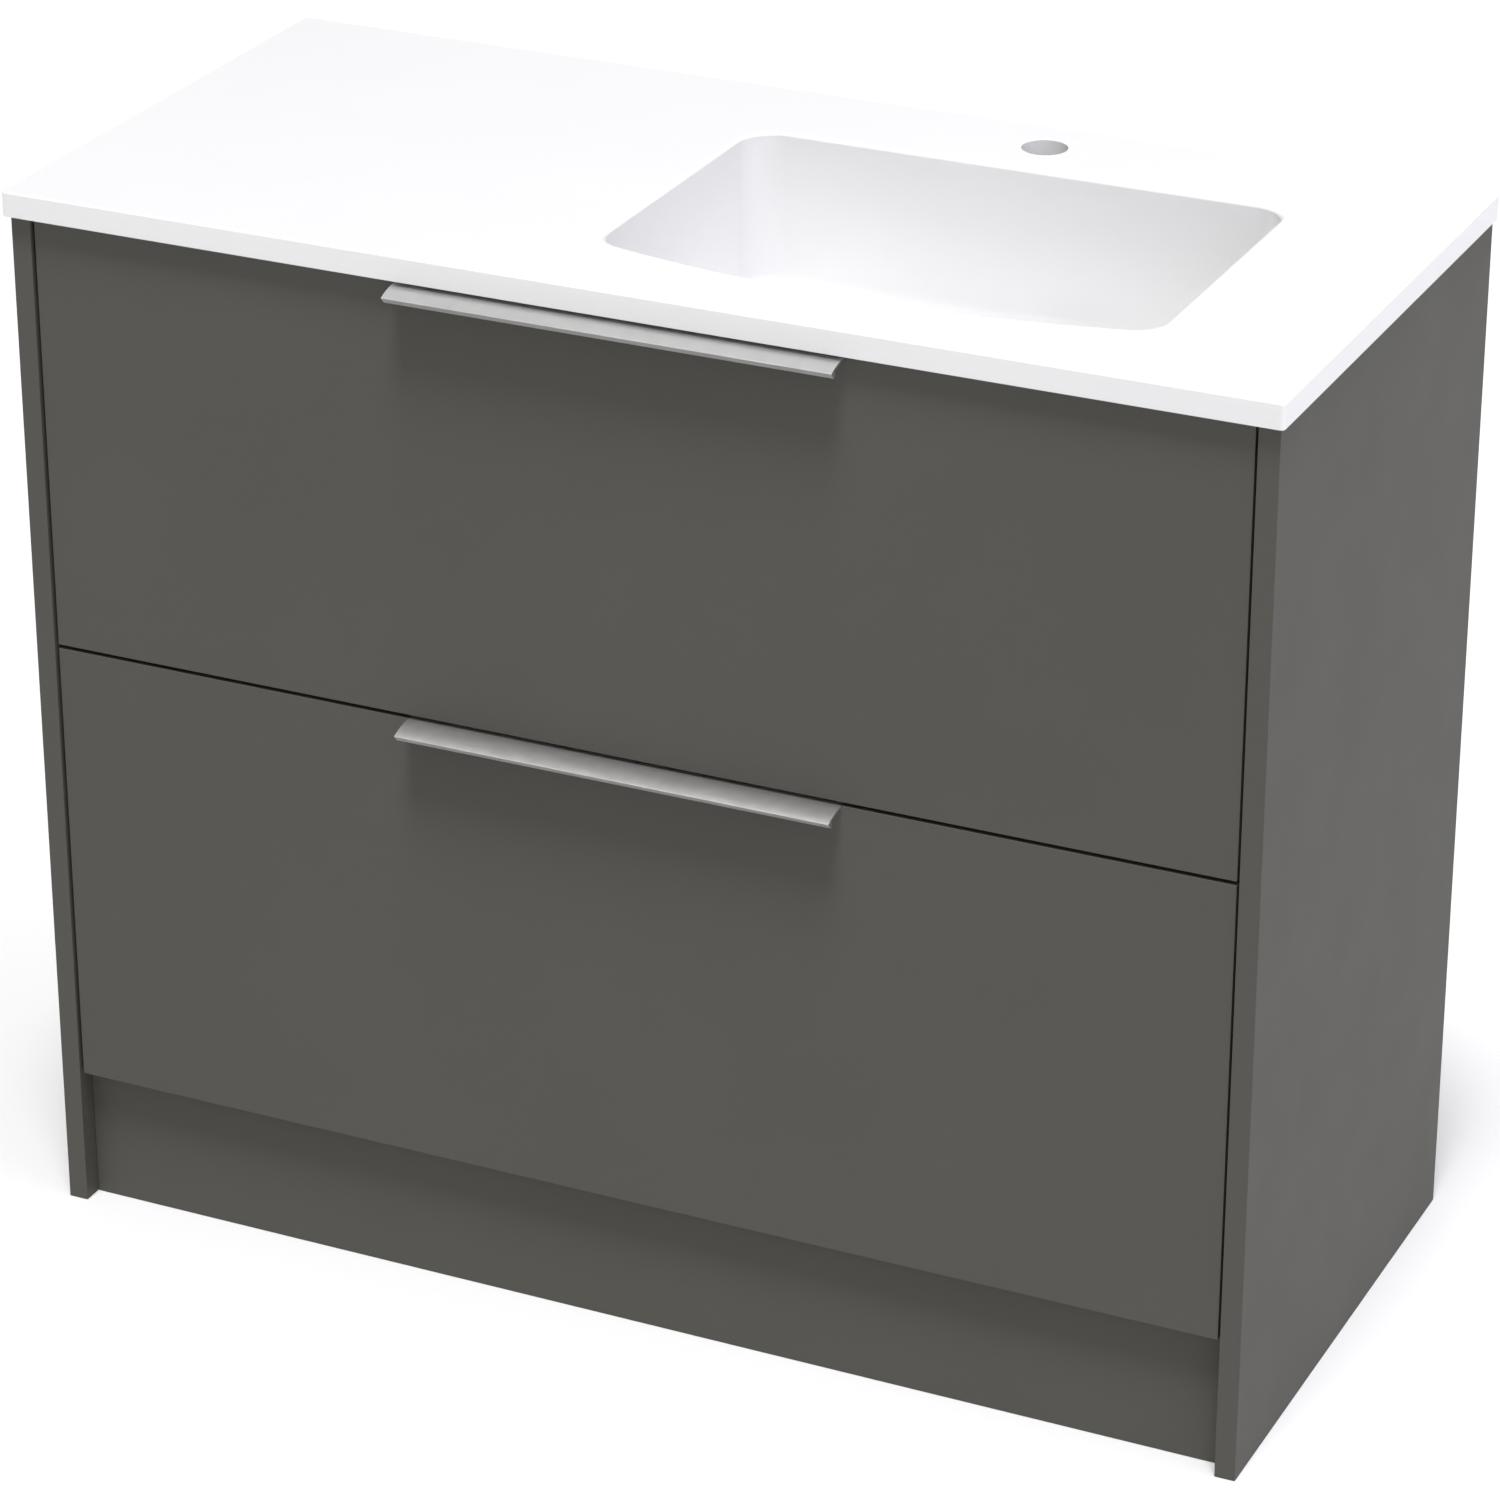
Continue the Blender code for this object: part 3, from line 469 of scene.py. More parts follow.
def rubber():
    """Moulded rubber, slightly dusty."""
    material = new_material("black_rubber", RUBBER, roughness=0.65)
    texture = Texture(material)
    dust = texture.noise(scale=240.0, detail=4.0)
    tint = texture.spread(dust, low=0.0, high=1.0)
    skin = texture.mix(tint, RUBBER, tinted(RUBBER, 2.2))
    gloss = texture.spread(dust, low=0.55, high=0.8)
    pores = texture.noise(scale=2200.0, detail=2.0)
    relief = texture.bump(pores, distance=0.03 * MM, strength=0.5)
    texture.use(base_color=skin, roughness=gloss, normal=relief)
    return material


front_board = board("grey_lacquered_front", GREY, 0.40)
# end panels: painted shade on their sides as a darker copy of the front grey, and the front grey
# itself on their forward edges
shaded_panel_board = board("grey_panel_painted_shade", PANEL_SHADED_GREY, 0.42, (BACKWARDS, DOWNWARDS), front_face_colour=GREY)
shelf_board = board("grey_shelf", GREY, 0.42, (BACKWARDS,))
rail_board = board("grey_rail", GREY, 0.42, (DOWNWARDS, UPWARDS))
side_board = board("pale_melamine_side", PALE, 0.45, (BACKWARDS, DOWNWARDS), grain=0.03)
inner_board = board("pale_melamine", PALE, 0.45, (DOWNWARDS,), grain=0.03)
white_cast = mineral_cast()
brushed_aluminium = brushed_metal()
zinc_steel = zinc_plate()
chrome = chrome_plate()
black_rubber = rubber()


# ---------------------------------------------------------------- carried-over CAD nodes
BOARD_EDGE = 0.2 * MM
BRACKET_EDGE = 0.4 * MM
RUNNER_EDGE = 0.3 * MM
SEAM = 0.01 * MM
FLAT_WITHIN = 1  # degrees between facets of one flat face


def soften(node, material, width, segments=3):
    """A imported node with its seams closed, its edges slightly rounded, and its own finish."""
    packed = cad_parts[node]
    packed.data.materials.clear()
    packed.data.materials.append(material)
    weld = packed.modifiers.new("closed_seams", "WELD")
    weld.merge_threshold = SEAM
    flat = packed.modifiers.new("whole_faces", "DECIMATE")
    flat.decimate_type = "DISSOLVE"
    flat.angle_limit = math.radians(FLAT_WITHIN)
    round_edges(packed, width, segments)
    weights = packed.modifiers.new("weighted_normals", "WEIGHTED_NORMAL")
    weights.keep_sharp = False


def finish_boards():
    boards = {
        shaded_panel_board: ["left_end_panel", "right_end_panel"],
        shelf_board: ["bottom_panel", "front_top_rail"],
        rail_board: ["wall_rail", "back_lower_rail", "kickboard", "rear_plinth_rail"],
        front_board: ["upper_drawer_front", "lower_drawer_front"],
        side_board: [f"{drawer}_drawer_{side}_side" for drawer in DRAWERS for side in SIDES],
        inner_board: ["lower_drawer_back", "upper_drawer_back_left", "upper_drawer_back_right"]
        + [f"upper_drawer_recess_{place}" for place in ("left", "right", "front")]
        + [f"{drawer}_drawer_bottom" for drawer in DRAWERS],
    }
    for material, nodes in boards.items():
        for node in nodes:
            soften(node, material, BOARD_EDGE)
    for side in SIDES:
        for end in ("front", "back"):
            soften(f"top_bracket_{side}_{end}", zinc_steel, BRACKET_EDGE)


def finish_runners():
    for drawer in DRAWERS:
        for side in SIDES:
            for member in ("cabinet", "middle", "drawer"):
                node = f"{drawer}_{side}_runner_{member}_member"
                soften(node, zinc_steel, RUNNER_EDGE, segments=2)


# ---------------------------------------------------------------- top with its basin
def basin_ring(inset, depth):
    """The basin's outline drawn in by inset: straight back and sides, a bowed front, and
    corners tangent to both of their neighbours."""
    half = BASIN_HALF_WIDTH - inset
    middle_y = WASTE_Y - WASTE_BEHIND_MIDDLE
    back = middle_y + BASIN_HALF_DEPTH - inset
    bow = BASIN_BOW_RADIUS - inset
    bow_centre = middle_y - BASIN_HALF_DEPTH + BASIN_BOW_RADIUS
    corner = BASIN_CORNER + BASIN_CORNER_GROWTH * max(inset, 0) - min(inset, 0)
    side = half - corner
    front_corner = bow_centre - math.sqrt((bow - corner) ** 2 - side**2)
    back_corner = back - corner
    lean = math.asin(side / (bow - corner))
    outline = arc((side, back_corner), corner, 0, QUARTER, CORNER_STEPS)
    outline += between((side, back), (-side, back), BOW_STEPS)
    outline += arc((-side, back_corner), corner, QUARTER, 2 * QUARTER, CORNER_STEPS)
    outline += between((-half, back_corner), (-half, front_corner), SIDE_STEPS)
    outline += arc((-side, front_corner), corner, 2 * QUARTER, 3 * QUARTER - lean, CORNER_STEPS)
    outline += arc((0, bow_centre), bow, 3 * QUARTER - lean, 3 * QUARTER + lean, BOW_STEPS)[1:-1]
    outline += arc((side, front_corner), corner, 3 * QUARTER + lean, 4 * QUARTER, CORNER_STEPS)
    outline += between((half, front_corner), (half, back_corner), SIDE_STEPS)
    return [Vector((WASTE_X + x, y, HEIGHT - depth)) for x, y in outline]


def pulled_round(ring, radius, depth, share=1.0):
    """A ring brought towards a circle round the waste, each point along its own direction."""
    made = []
    for point in ring:
        away = Vector((point.x - WASTE_X, point.y - WASTE_Y, 0)).normalized()
        target = Vector((WASTE_X, WASTE_Y, 0)) + away * radius
        flat = Vector((point.x, point.y, 0)).lerp(target, share)
        made.append(Vector((flat.x, flat.y, HEIGHT - depth)))
    return made


def quarter_turn(inset, depth, width, height, steps):
    """Rings from an upright wall round into a level floor."""
    angles = [QUARTER * i / steps for i in range(steps + 1)]
    return [
        basin_ring(inset + width * (1 - math.cos(a)), depth + height * math.sin(a)) for a in angles
    ]


def bowl_inside():
    """Rings from the flat top over the rim, down the wall, across the floor to the seat."""
    rings = []
    for i in range(RIM_STEPS + 1):
        angle = QUARTER * i / RIM_STEPS
        inset = BASIN_RIM * (math.sin(angle) - 0.5)
        rings.append(basin_ring(inset, BASIN_RIM * (1 - math.cos(angle))))
    for share in BASIN_WALL_SHARES:
        inset = BASIN_RIM / 2 + (BASIN_WALL_INSET - BASIN_RIM / 2) * share
        rings.append(basin_ring(inset, BASIN_RIM + (BASIN_WALL_DEPTH - BASIN_RIM) * share))
    rings += quarter_turn(
        BASIN_WALL_INSET, BASIN_WALL_DEPTH, BASIN_TURN_WIDTH, BASIN_TURN_DEPTH, TURN_STEPS
    )
    floor = rings[-1]
    floor_depth = BASIN_WALL_DEPTH + BASIN_TURN_DEPTH
    for i in range(1, FLOOR_RINGS + 1):
        share = i / FLOOR_RINGS
        fall = BASIN_FLOOR_FALL * share**BASIN_FLOOR_DISH
        rings.append(pulled_round(floor, SEAT_RADIUS, floor_depth + fall, share))
    seat_depth = floor_depth + BASIN_FLOOR_FALL + SEAT_FALL
    seat = (
        (SEAT_RADIUS - SEAT_CHAMFER, seat_depth - SEAT_FALL + SEAT_CHAMFER),
        (SEAT_RADIUS - SEAT_CHAMFER, seat_depth),
        (WASTE_HOLE_RADIUS + SEAT_CHAMFER, seat_depth),
        (WASTE_HOLE_RADIUS, seat_depth + SEAT_CHAMFER),
    )
    return rings + [pulled_round(floor, radius, depth) for radius, depth in seat]


def bowl_outside():
    """Rings from the waste hole's lower end out over the boss and up the shell to the slab."""
    wall_inset = BASIN_WALL_INSET - BASIN_SHELL
    turn_height = BASIN_TURN_DEPTH + BASIN_SHELL
    rings = quarter_turn(wall_inset, BASIN_WALL_DEPTH, BASIN_TURN_WIDTH, turn_height, TURN_STEPS)
    floor = rings[-1]
    boss_depth = HEIGHT - slab_low.z
    under_slab = HEIGHT - TOP_UNDER
    fillet = []
    for i in range(EDGE_STEPS + 1):
        angle = QUARTER * i / EDGE_STEPS
        outwards = SHELL_FLARE + SHELL_FILLET * (1 - math.sin(angle))
        down = SHELL_FILLET * (1 - math.cos(angle))
        fillet.append(basin_ring(wall_inset - outwards, under_slab + down))
    shell_depth = BASIN_WALL_DEPTH + turn_height
    boss = [
        pulled_round(floor, BOSS_RADIUS, shell_depth, share=0.5),
        pulled_round(floor, BOSS_RADIUS + BOSS_FILLET, shell_depth + BOSS_FILLET),
        pulled_round(floor, BOSS_RADIUS, shell_depth + 2 * BOSS_FILLET),
        pulled_round(floor, BOSS_RADIUS, boss_depth - BOSS_CHAMFER),
        pulled_round(floor, BOSS_RADIUS - BOSS_CHAMFER, boss_depth),
        pulled_round(floor, WASTE_HOLE_RADIUS, boss_depth),
    ]
    return (fillet + rings + boss)[::-1]


def slab_ring(inset, z):
    """The slab's outline with its rounded upright corners, drawn in by inset."""
    corner = SLAB_CORNER - inset / 2
    high_x, low_x = slab_high.x - inset - corner, slab_low.x + inset + corner
    high_y, low_y = slab_high.y - inset - corner, slab_low.y + inset + corner
    centres = ((high_x, high_y), (low_x, high_y), (low_x, low_y), (high_x, low_y))
    outline = []
    for i, centre in enumerate(centres):
        outline += arc(centre, corner, i * QUARTER, (i + 1) * QUARTER, EDGE_STEPS)
    return [Vector((x, y, z)) for x, y in outline]


def slab_edge():
    """Rings from the flat top over the rounded upper edge to the underside."""
    rings = []
    for i in range(EDGE_STEPS + 1):
        angle = QUARTER * i / EDGE_STEPS
        inset = SLAB_UPPER_EDGE * (1 - math.sin(angle))
        rings.append(slab_ring(inset, HEIGHT - SLAB_UPPER_EDGE * (1 - math.cos(angle))))
    for i in range(LOWER_EDGE_STEPS + 1):
        angle = QUARTER * i / LOWER_EDGE_STEPS
        inset = SLAB_LOWER_EDGE * (1 - math.cos(angle))
        rings.append(slab_ring(inset, TOP_UNDER + SLAB_LOWER_EDGE * (1 - math.sin(angle))))
    return rings


def build_top():
    bm = bmesh.new()
    edge = [add_loop(bm, ring) for ring in slab_edge()]
    bowl = [add_loop(bm, ring) for ring in bowl_inside() + bowl_outside()]
    tap = (WASTE_X, slab_high.y - TAP_FROM_BACK)
    tap_rings = (
        (TAP_RADIUS + TAP_CHAMFER, HEIGHT),
        (TAP_RADIUS + TAP_CHAMFER * TAP_CHAMFER_BEND, HEIGHT - TAP_CHAMFER * TAP_CHAMFER_BEND),
        (TAP_RADIUS, HEIGHT - TAP_CHAMFER),
        (TAP_RADIUS, TOP_UNDER),
    )
    hole = [add_loop(bm, circle((*tap, z), radius)) for radius, z in tap_rings]
    for loops in (edge, bowl, hole):
        bridge_all(bm, loops)
    fill_flat(bm, [edge[0], bowl[0], hole[0]])
    fill_flat(bm, [edge[-1], bowl[-1], hole[-1]])
    mesh = make_mesh("vanity_top_cast", bm, white_cast, TOP_SHARP)
    add_piece("vanity_top_cast", mesh, "cabinet", ["vanity_top"])


# ---------------------------------------------------------------- handles
HANDLE_SHEET = 1.2 * MM
HANDLE_PLATE = 2.0 * MM
HANDLE_FLAT = 1.0 * MM
HANDLE_SHOULDER = 0.4 * MM
HANDLE_DROP = 5.0 * MM
HANDLE_LIP_BACK = 4.6 * MM
HANDLE_LIP_DROP = 4.8 * MM
HANDLE_LIP_INNER = 16.4 * MM
HANDLE_BEND = 1.0 * MM
HANDLE_EDGE = 0.12 * MM
HANDLE_STEPS = 28
BEND_STEPS = 5
HANDLE_SHARP = 25


def handle_section(thickness, reach, flange):
    """(reach, rise) points: down the back flange, level with the front's top edge, along the
    convex plate to its nose, and back under it."""
    run = reach - HANDLE_FLAT
    sweep = 2 * math.atan2(HANDLE_DROP, run)
    radius = run / math.sin(sweep)
    centre = (HANDLE_FLAT, -radius)
    inner_radius = radius - HANDLE_PLATE
    inner_sweep = math.asin((HANDLE_LIP_INNER - HANDLE_FLAT) / inner_radius)
    inner = -thickness - CLEARANCE
    outer = inner - HANDLE_SHEET
    bend_centre = (outer + HANDLE_BEND, -HANDLE_BEND)
    lip_low = -HANDLE_DROP - HANDLE_LIP_DROP
    points = [(outer, -flange)]
    points += arc(bend_centre, HANDLE_BEND, 2 * QUARTER, QUARTER, BEND_STEPS)
    points += arc(centre, radius, QUARTER, QUARTER - sweep, HANDLE_STEPS)
    points += [(reach - HANDLE_LIP_BACK, lip_low), (HANDLE_LIP_INNER, lip_low)]
    points += arc(centre, inner_radius, QUARTER - inner_sweep, QUARTER, HANDLE_STEPS)
    points += [(HANDLE_SHOULDER, centre[1] + inner_radius), (HANDLE_SHOULDER, -HANDLE_SHEET)]
    points += [(inner, -HANDLE_SHEET), (inner, -flange)]
    return points


def build_handle(drawer):
    node = f"{drawer}_drawer_handle"
    low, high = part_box(node)
    front_low, front_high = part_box(f"{drawer}_drawer_front")
    thickness = front_high.y - front_low.y
    reach = front_low.y - low.y
    flange = front_high.z - low.z
    bm = bmesh.new()
    outline = [
        (low.x, front_low.y - out, front_high.z + rise)
        for out, rise in handle_section(thickness, reach, flange)
    ]
    extrude(bm, outline, (high.x - low.x, 0, 0))
    mesh = make_mesh(f"{node}_strip", bm, brushed_aluminium, HANDLE_SHARP)
    piece = add_piece(f"{node}_strip", mesh, f"{drawer}_drawer", [node])
    round_first(piece, HANDLE_EDGE, segments=2)


# ---------------------------------------------------------------- screws
SHANK_RADIUS = 1.75 * MM
SCREW_PITCH = 1 * MM
SCREW_CREST = 0.2 * MM  # how far into each turn its crest and its root lie
SCREW_ROOT = 0.7 * MM
SCREW_ROOT_SHARE = 0.8  # root and tip as shares of the shank's radius
SCREW_TIP_SHARE = 0.7
SCREW_TIP = 1.5 * MM
SCREW_PLAIN = 2 * MM
RECESS_BLADE = 0.28  # the recess's width and reach as shares of the head's radius
RECESS_REACH = 0.58
RECESS_FLOOR = 0.25  # share of the head's height
HEAD_STEPS = 24
CROWN_STEPS = 6
SCREW_SHARP = 40
HANDLE_SCREW_HEAD = 1.8 * MM
HANDLE_SCREW_PLACES = ("left", "middle", "right")
BRACKET_STEEL = 2 * MM
BRACKET_SCREW_PLACE = 11 * MM
RUNNER_STEEL = 1.2 * MM
RUNNER_SCREW_PLACES = {"front": 0.1, "rear": 0.9}  # shares of the member's length


def screw_profile(head_radius, head_height, length):
    """(radius, height) points from the top of the head to the tip."""
    crown = [
        (head_radius * math.cos(a), head_height * math.sin(a))
        for a in (QUARTER * i / CROWN_STEPS for i in range(CROWN_STEPS))
    ]
    profile = [(0, head_height)] + crown[::-1]
    profile += [(head_radius, 0), (SHANK_RADIUS, 0)]
    for i in range(int((length - SCREW_PLAIN) / SCREW_PITCH)):
        start = -i * SCREW_PITCH
        profile.append((SHANK_RADIUS, start - SCREW_CREST))
        profile.append((SHANK_RADIUS * SCREW_ROOT_SHARE, start - SCREW_ROOT))
    return profile + [(SHANK_RADIUS * SCREW_TIP_SHARE, SCREW_TIP - length), (0, -length)]


def cross_recess(head_radius, head_height):
    """The shape of a screwdriver's cross, to be cut out of a head."""
    blade = head_radius * RECESS_BLADE / 2
    reach = head_radius * RECESS_REACH
    floor = head_height * RECESS_FLOOR
    outline = [(reach, blade), (blade, blade), (blade, reach)]
    for quarter in range(1, 4):
        turned = Matrix.Rotation(quarter * QUARTER, 2)
        outline += [tuple(turned @ Vector(p)) for p in outline[:3]]
    bm = bmesh.new()
    extrude(bm, [(x, y, floor) for x, y in outline], (0, 0, head_height))
    return make_mesh("recess", bm, zinc_steel, SCREW_SHARP)


def screw_mesh(name, head_radius, head_height, length):
    """A pan-head screw with a cross recess, pointing down from its seat at the origin."""
    bm = bmesh.new()
    turn(bm, screw_profile(head_radius, head_height, length), steps=HEAD_STEPS)
    mesh = make_mesh(name, bm, zinc_steel, SCREW_SHARP)
    return cut(mesh, cross_recess(head_radius, head_height))


def place_screw(name, mesh, seat, outwards, body, stands_for=()):
    """A screw whose head looks along outwards."""
    turn_to = Vector((0, 0, 1)).rotation_difference(Vector(outwards)).to_matrix().to_4x4()
    place = Matrix.Translation(seat) @ turn_to
    add_piece(name, mesh, body, stands_for, place)


def build_handle_screws(drawer, mesh):
    for place in HANDLE_SCREW_PLACES:
        node = f"{drawer}_handle_screw_{place}"
        low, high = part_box(node)
        seat_y = high.y - HANDLE_SCREW_HEAD
        seat = Vector(((low.x + high.x) / 2, seat_y, (low.z + high.z) / 2))
        place_screw(f"{node}_cross", mesh, seat, BACKWARDS, f"{drawer}_drawer", [node])


def build_runner_screws(drawer, mesh):
    """Shallow screws inside the channels: two hold each outer member to the end panel, and two
    hold each inner member to the drawer's side."""
    for side, sign in SIDES.items():
        runner = f"{drawer}_{side}_runner"
        members = (("cabinet", 1, "cabinet"), ("drawer", -1, f"{drawer}_drawer"))
        for member, towards, body in members:
            low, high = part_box(f"{runner}_{member}_member")
            web = high.x if sign * towards > 0 else low.x
            seat_x = web - sign * towards * RUNNER_STEEL
            for place, share in RUNNER_SCREW_PLACES.items():
                seat = Vector((seat_x, low.y + (high.y - low.y) * share, (low.z + high.z) / 2))
                name = f"{runner}_{member}_screw_{place}"
                place_screw(name, mesh, seat, (-sign * towards, 0, 0), body)


def build_bracket_screws(mesh):
    """One screw through each bracket into the end panel, and one up towards the top."""
    for side, sign in SIDES.items():
        for end in ("front", "back"):
            low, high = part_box(f"top_bracket_{side}_{end}")
            middle_y = (low.y + high.y) / 2
            name = f"bracket_screw_{side}_{end}"
            wall_x = (high.x if sign > 0 else low.x) - sign * BRACKET_STEEL
            seat = Vector((wall_x, middle_y, low.z + BRACKET_SCREW_PLACE))
            place_screw(f"{name}_panel", mesh, seat, (-sign, 0, 0), "cabinet")
            free_x = (low.x if sign > 0 else high.x) + sign * BRACKET_SCREW_PLACE
            seat = Vector((free_x, middle_y, high.z - BRACKET_STEEL))
            place_screw(f"{name}_top", mesh, seat, DOWNWARDS, "cabinet")


# ---------------------------------------------------------------- bumpers
BUMPER_SHOULDER = 0.35  # the share of the height below the dome
DOME_STEPS = 8
RUBBER_SHARP = 50


def build_bumpers(drawer):
    """Small rubber domes on the back of each drawer front."""
    for side in SIDES:
        node = f"{drawer}_drawer_bumper_{side}"
        low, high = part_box(node)
        radius = (high.x - low.x) / 2
        height = high.y - low.y
        shoulder = height * BUMPER_SHOULDER
        dome = [
            (radius * math.cos(a), shoulder + (height - shoulder) * math.sin(a))
            for a in (QUARTER * i / DOME_STEPS for i in range(DOME_STEPS))
        ]
        bm = bmesh.new()
        profile = [(0, 0), (radius, 0)] + dome + [(0, height)]
        turn(bm, profile, steps=SMALL_ROUND_STEPS)
        mesh = make_mesh(f"{node}_dome", bm, black_rubber, RUBBER_SHARP)
        centre = Vector(((low.x + high.x) / 2, low.y, (low.z + high.z) / 2))
        place = Matrix.Translation(centre) @ Matrix.Rotation(-QUARTER, 4, "X")
        add_piece(f"{node}_dome", mesh, f"{drawer}_drawer", [node], place)


# ---------------------------------------------------------------- waste
WASTE_AXIS = (WASTE_X, WASTE_Y, 0)
CHROME_SHARP = 35
TAIL_RADIUS = 20.9 * MM
BORE_RADIUS = 17 * MM
MOUTH = ((0, 1.2 * MM), (1 * MM, 0.5 * MM), (3 * MM, 0.1 * MM))  # out from the bore, and down
FLANGE_DEPTH = 2.5 * MM
FLANGE_FLAT = 3 * MM  # the flat top ends this far inside the rim
FLANGE_ROUND = 2 * MM
FLANGE_ROUND_HEIGHT = 2.1 * MM
FLANGE_STEPS = 5
THREAD_PITCH = 1.8 * MM
THREAD_DEPTH = 0.6 * MM
THREAD_END = 3 * MM
TAIL_CHAMFER = 1.2 * MM
HUB_DEPTH = 26 * MM
HUB_HEIGHT = 6 * MM
HUB_RADIUS = 7 * MM
HUB_BORE = 4.3 * MM
BAR_START = 6.6 * MM
BAR_OVERLAP = 0.4 * MM
BAR_HALF_WIDTH = 2.5 * MM
BAR_RISE = 0.5 * MM
BAR_HEIGHT = 5 * MM
NUT_RADIUS = 31 * MM
NUT_CORNERS = 8
NUT_EDGE = 0.8 * MM
NUT_SHARP = 30
SEAL_EDGE = 0.8 * MM
PLUG_SHOULDER = 0.9 * MM
PLUG_DOME = 2.2  # the power by which the dome falls towards its rim
PLUG_DOME_STEPS = 10
PLUG_RIM = 1.3 * MM
PLUG_RIM_SQUASH = 0.85
PLUG_RIM_MIDDLE = 1.2 * MM
PLUG_RIM_STEPS = 5
PLUG_LIP = ((0.2 * MM, 0.5 * MM), (1 * MM, 0))  # in from the rim, and up from the seat
STEM_RADIUS = 4 * MM
STEM_CHAMFER = 0.5 * MM


def tail_profile():
    """(radius, height) points from the bore's mouth over the flange and down the thread."""
    flange = (waste_high.x - waste_low.x) / 2
    flange_under = waste_high.z - FLANGE_DEPTH
    profile = [(BORE_RADIUS + out, waste_high.z - down) for out, down in MOUTH]
    profile.append((flange - FLANGE_FLAT, waste_high.z))
    middle = flange_under + FLANGE_DEPTH - FLANGE_ROUND_HEIGHT
    for i in range(FLANGE_STEPS - 1, -1, -1):
        angle = QUARTER * i / FLANGE_STEPS
        radius = flange - FLANGE_ROUND + FLANGE_ROUND * math.cos(angle)
        profile.append((radius, middle + FLANGE_ROUND_HEIGHT * math.sin(angle)))
    profile += [(flange, flange_under), (TAIL_RADIUS, flange_under)]
    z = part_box("waste_seal")[0].z
    while z > waste_low.z + THREAD_END:
        profile.append((TAIL_RADIUS, z))
        profile.append((TAIL_RADIUS - THREAD_DEPTH, z - THREAD_PITCH / 2))
        z -= THREAD_PITCH
    profile.append((TAIL_RADIUS - THREAD_DEPTH, waste_low.z + THREAD_DEPTH))
    profile.append((TAIL_RADIUS - TAIL_CHAMFER, waste_low.z))
    return profile + [(BORE_RADIUS, waste_low.z)]


def build_waste_tail():
    """The flanged tail, with a hub on two bars across its bore that guides the plug's stem."""
    bm = bmesh.new()
    turn(bm, tail_profile(), WASTE_AXIS, closed=True)
    low = waste_high.z - FLANGE_DEPTH - HUB_DEPTH
    high = low + HUB_HEIGHT
    hub = [(HUB_BORE, low), (HUB_RADIUS, low), (HUB_RADIUS, high), (HUB_BORE, high)]
    turn(bm, hub, WASTE_AXIS, steps=SMALL_ROUND_STEPS, closed=True)
    ends = (BAR_START, BORE_RADIUS + BAR_OVERLAP)
    corners = [(x, -BAR_HALF_WIDTH) for x in ends] + [(x, BAR_HALF_WIDTH) for x in ends[::-1]]
    for sign in (-1, 1):
        bar = [(WASTE_X + sign * x, WASTE_Y + y, low + BAR_RISE) for x, y in corners]
        extrude(bm, bar, (0, 0, BAR_HEIGHT))
    mesh = make_mesh("waste_flanged_tail", bm, chrome, CHROME_SHARP)
    add_piece("waste_flanged_tail", mesh, "cabinet", ["waste_body"])


def build_waste_seal():
    low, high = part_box("waste_seal")
    outer = (high.x - low.x) / 2
    inner = TAIL_RADIUS + CLEARANCE
    section = [(inner, low.z), (outer - SEAL_EDGE, low.z)]
    section += [(outer, low.z + SEAL_EDGE), (outer, high.z - SEAL_EDGE)]
    section += [(outer - SEAL_EDGE, high.z), (inner, high.z)]
    bm = bmesh.new()
    turn(bm, section, WASTE_AXIS, closed=True)
    mesh = make_mesh("waste_rubber_ring", bm, black_rubber, RUBBER_SHARP)
    add_piece("waste_rubber_ring", mesh, "cabinet", ["waste_seal"])


def build_waste_nut():
    low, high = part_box("waste_backnut")
    centre = (WASTE_X, WASTE_Y, low.z)
    height = Vector((0, 0, high.z - low.z))
    corners = circle(centre, NUT_RADIUS, NUT_CORNERS)
    hole = circle(centre, TAIL_RADIUS + CLEARANCE)
    bm = bmesh.new()
    outer_loops = [add_loop(bm, corners), add_loop(bm, [p + height for p in corners])]
    hole_loops = [add_loop(bm, hole), add_loop(bm, [p + height for p in hole])]
    bridge_all(bm, outer_loops)
    bridge_all(bm, hole_loops)
    for outer_loop, hole_loop in zip(outer_loops, hole_loops):
        fill_flat(bm, [outer_loop, hole_loop])
    mesh = make_mesh("waste_octagonal_nut", bm, chrome, NUT_SHARP)
    nut = add_piece("waste_octagonal_nut", mesh, "cabinet", ["waste_backnut"])
    round_first(nut, NUT_EDGE, segments=3)


def plug_profile(cap, crown, stem_low):
    """(radius, height) points from the crown over the rim, and down the stem to its end."""
    profile = [(0, crown)]
    for i in range(1, PLUG_DOME_STEPS):
        share = i / PLUG_DOME_STEPS
        fall = (crown - PLUG_RIM - PLUG_SHOULDER) * share**PLUG_DOME
        profile.append((share * (cap - PLUG_RIM), crown - fall))
    for i in range(1, PLUG_RIM_STEPS + 1):
        angle = QUARTER * i / PLUG_RIM_STEPS
        radius = cap - PLUG_RIM + PLUG_RIM * math.sin(angle)
        height = PLUG_RIM_MIDDLE + PLUG_RIM * PLUG_RIM_SQUASH * math.cos(angle)
        profile.append((radius, height))
    profile += [(cap - inwards, up) for inwards, up in PLUG_LIP]
    profile += [(STEM_RADIUS, 0), (STEM_RADIUS, stem_low + STEM_CHAMFER)]
    return profile + [(STEM_RADIUS - STEM_CHAMFER, stem_low), (0, stem_low)]


def build_waste_plug():
    low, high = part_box("waste_plug")
    seat = waste_high.z + CLEARANCE
    bm = bmesh.new()
    profile = plug_profile((high.x - low.x) / 2, high.z - seat, low.z - seat)
    turn(bm, profile, (WASTE_X, WASTE_Y, seat))
    mesh = make_mesh("waste_plug_domed", bm, chrome, CHROME_SHARP)
    add_piece("waste_plug_domed", mesh, "waste_plug", ["waste_plug"])


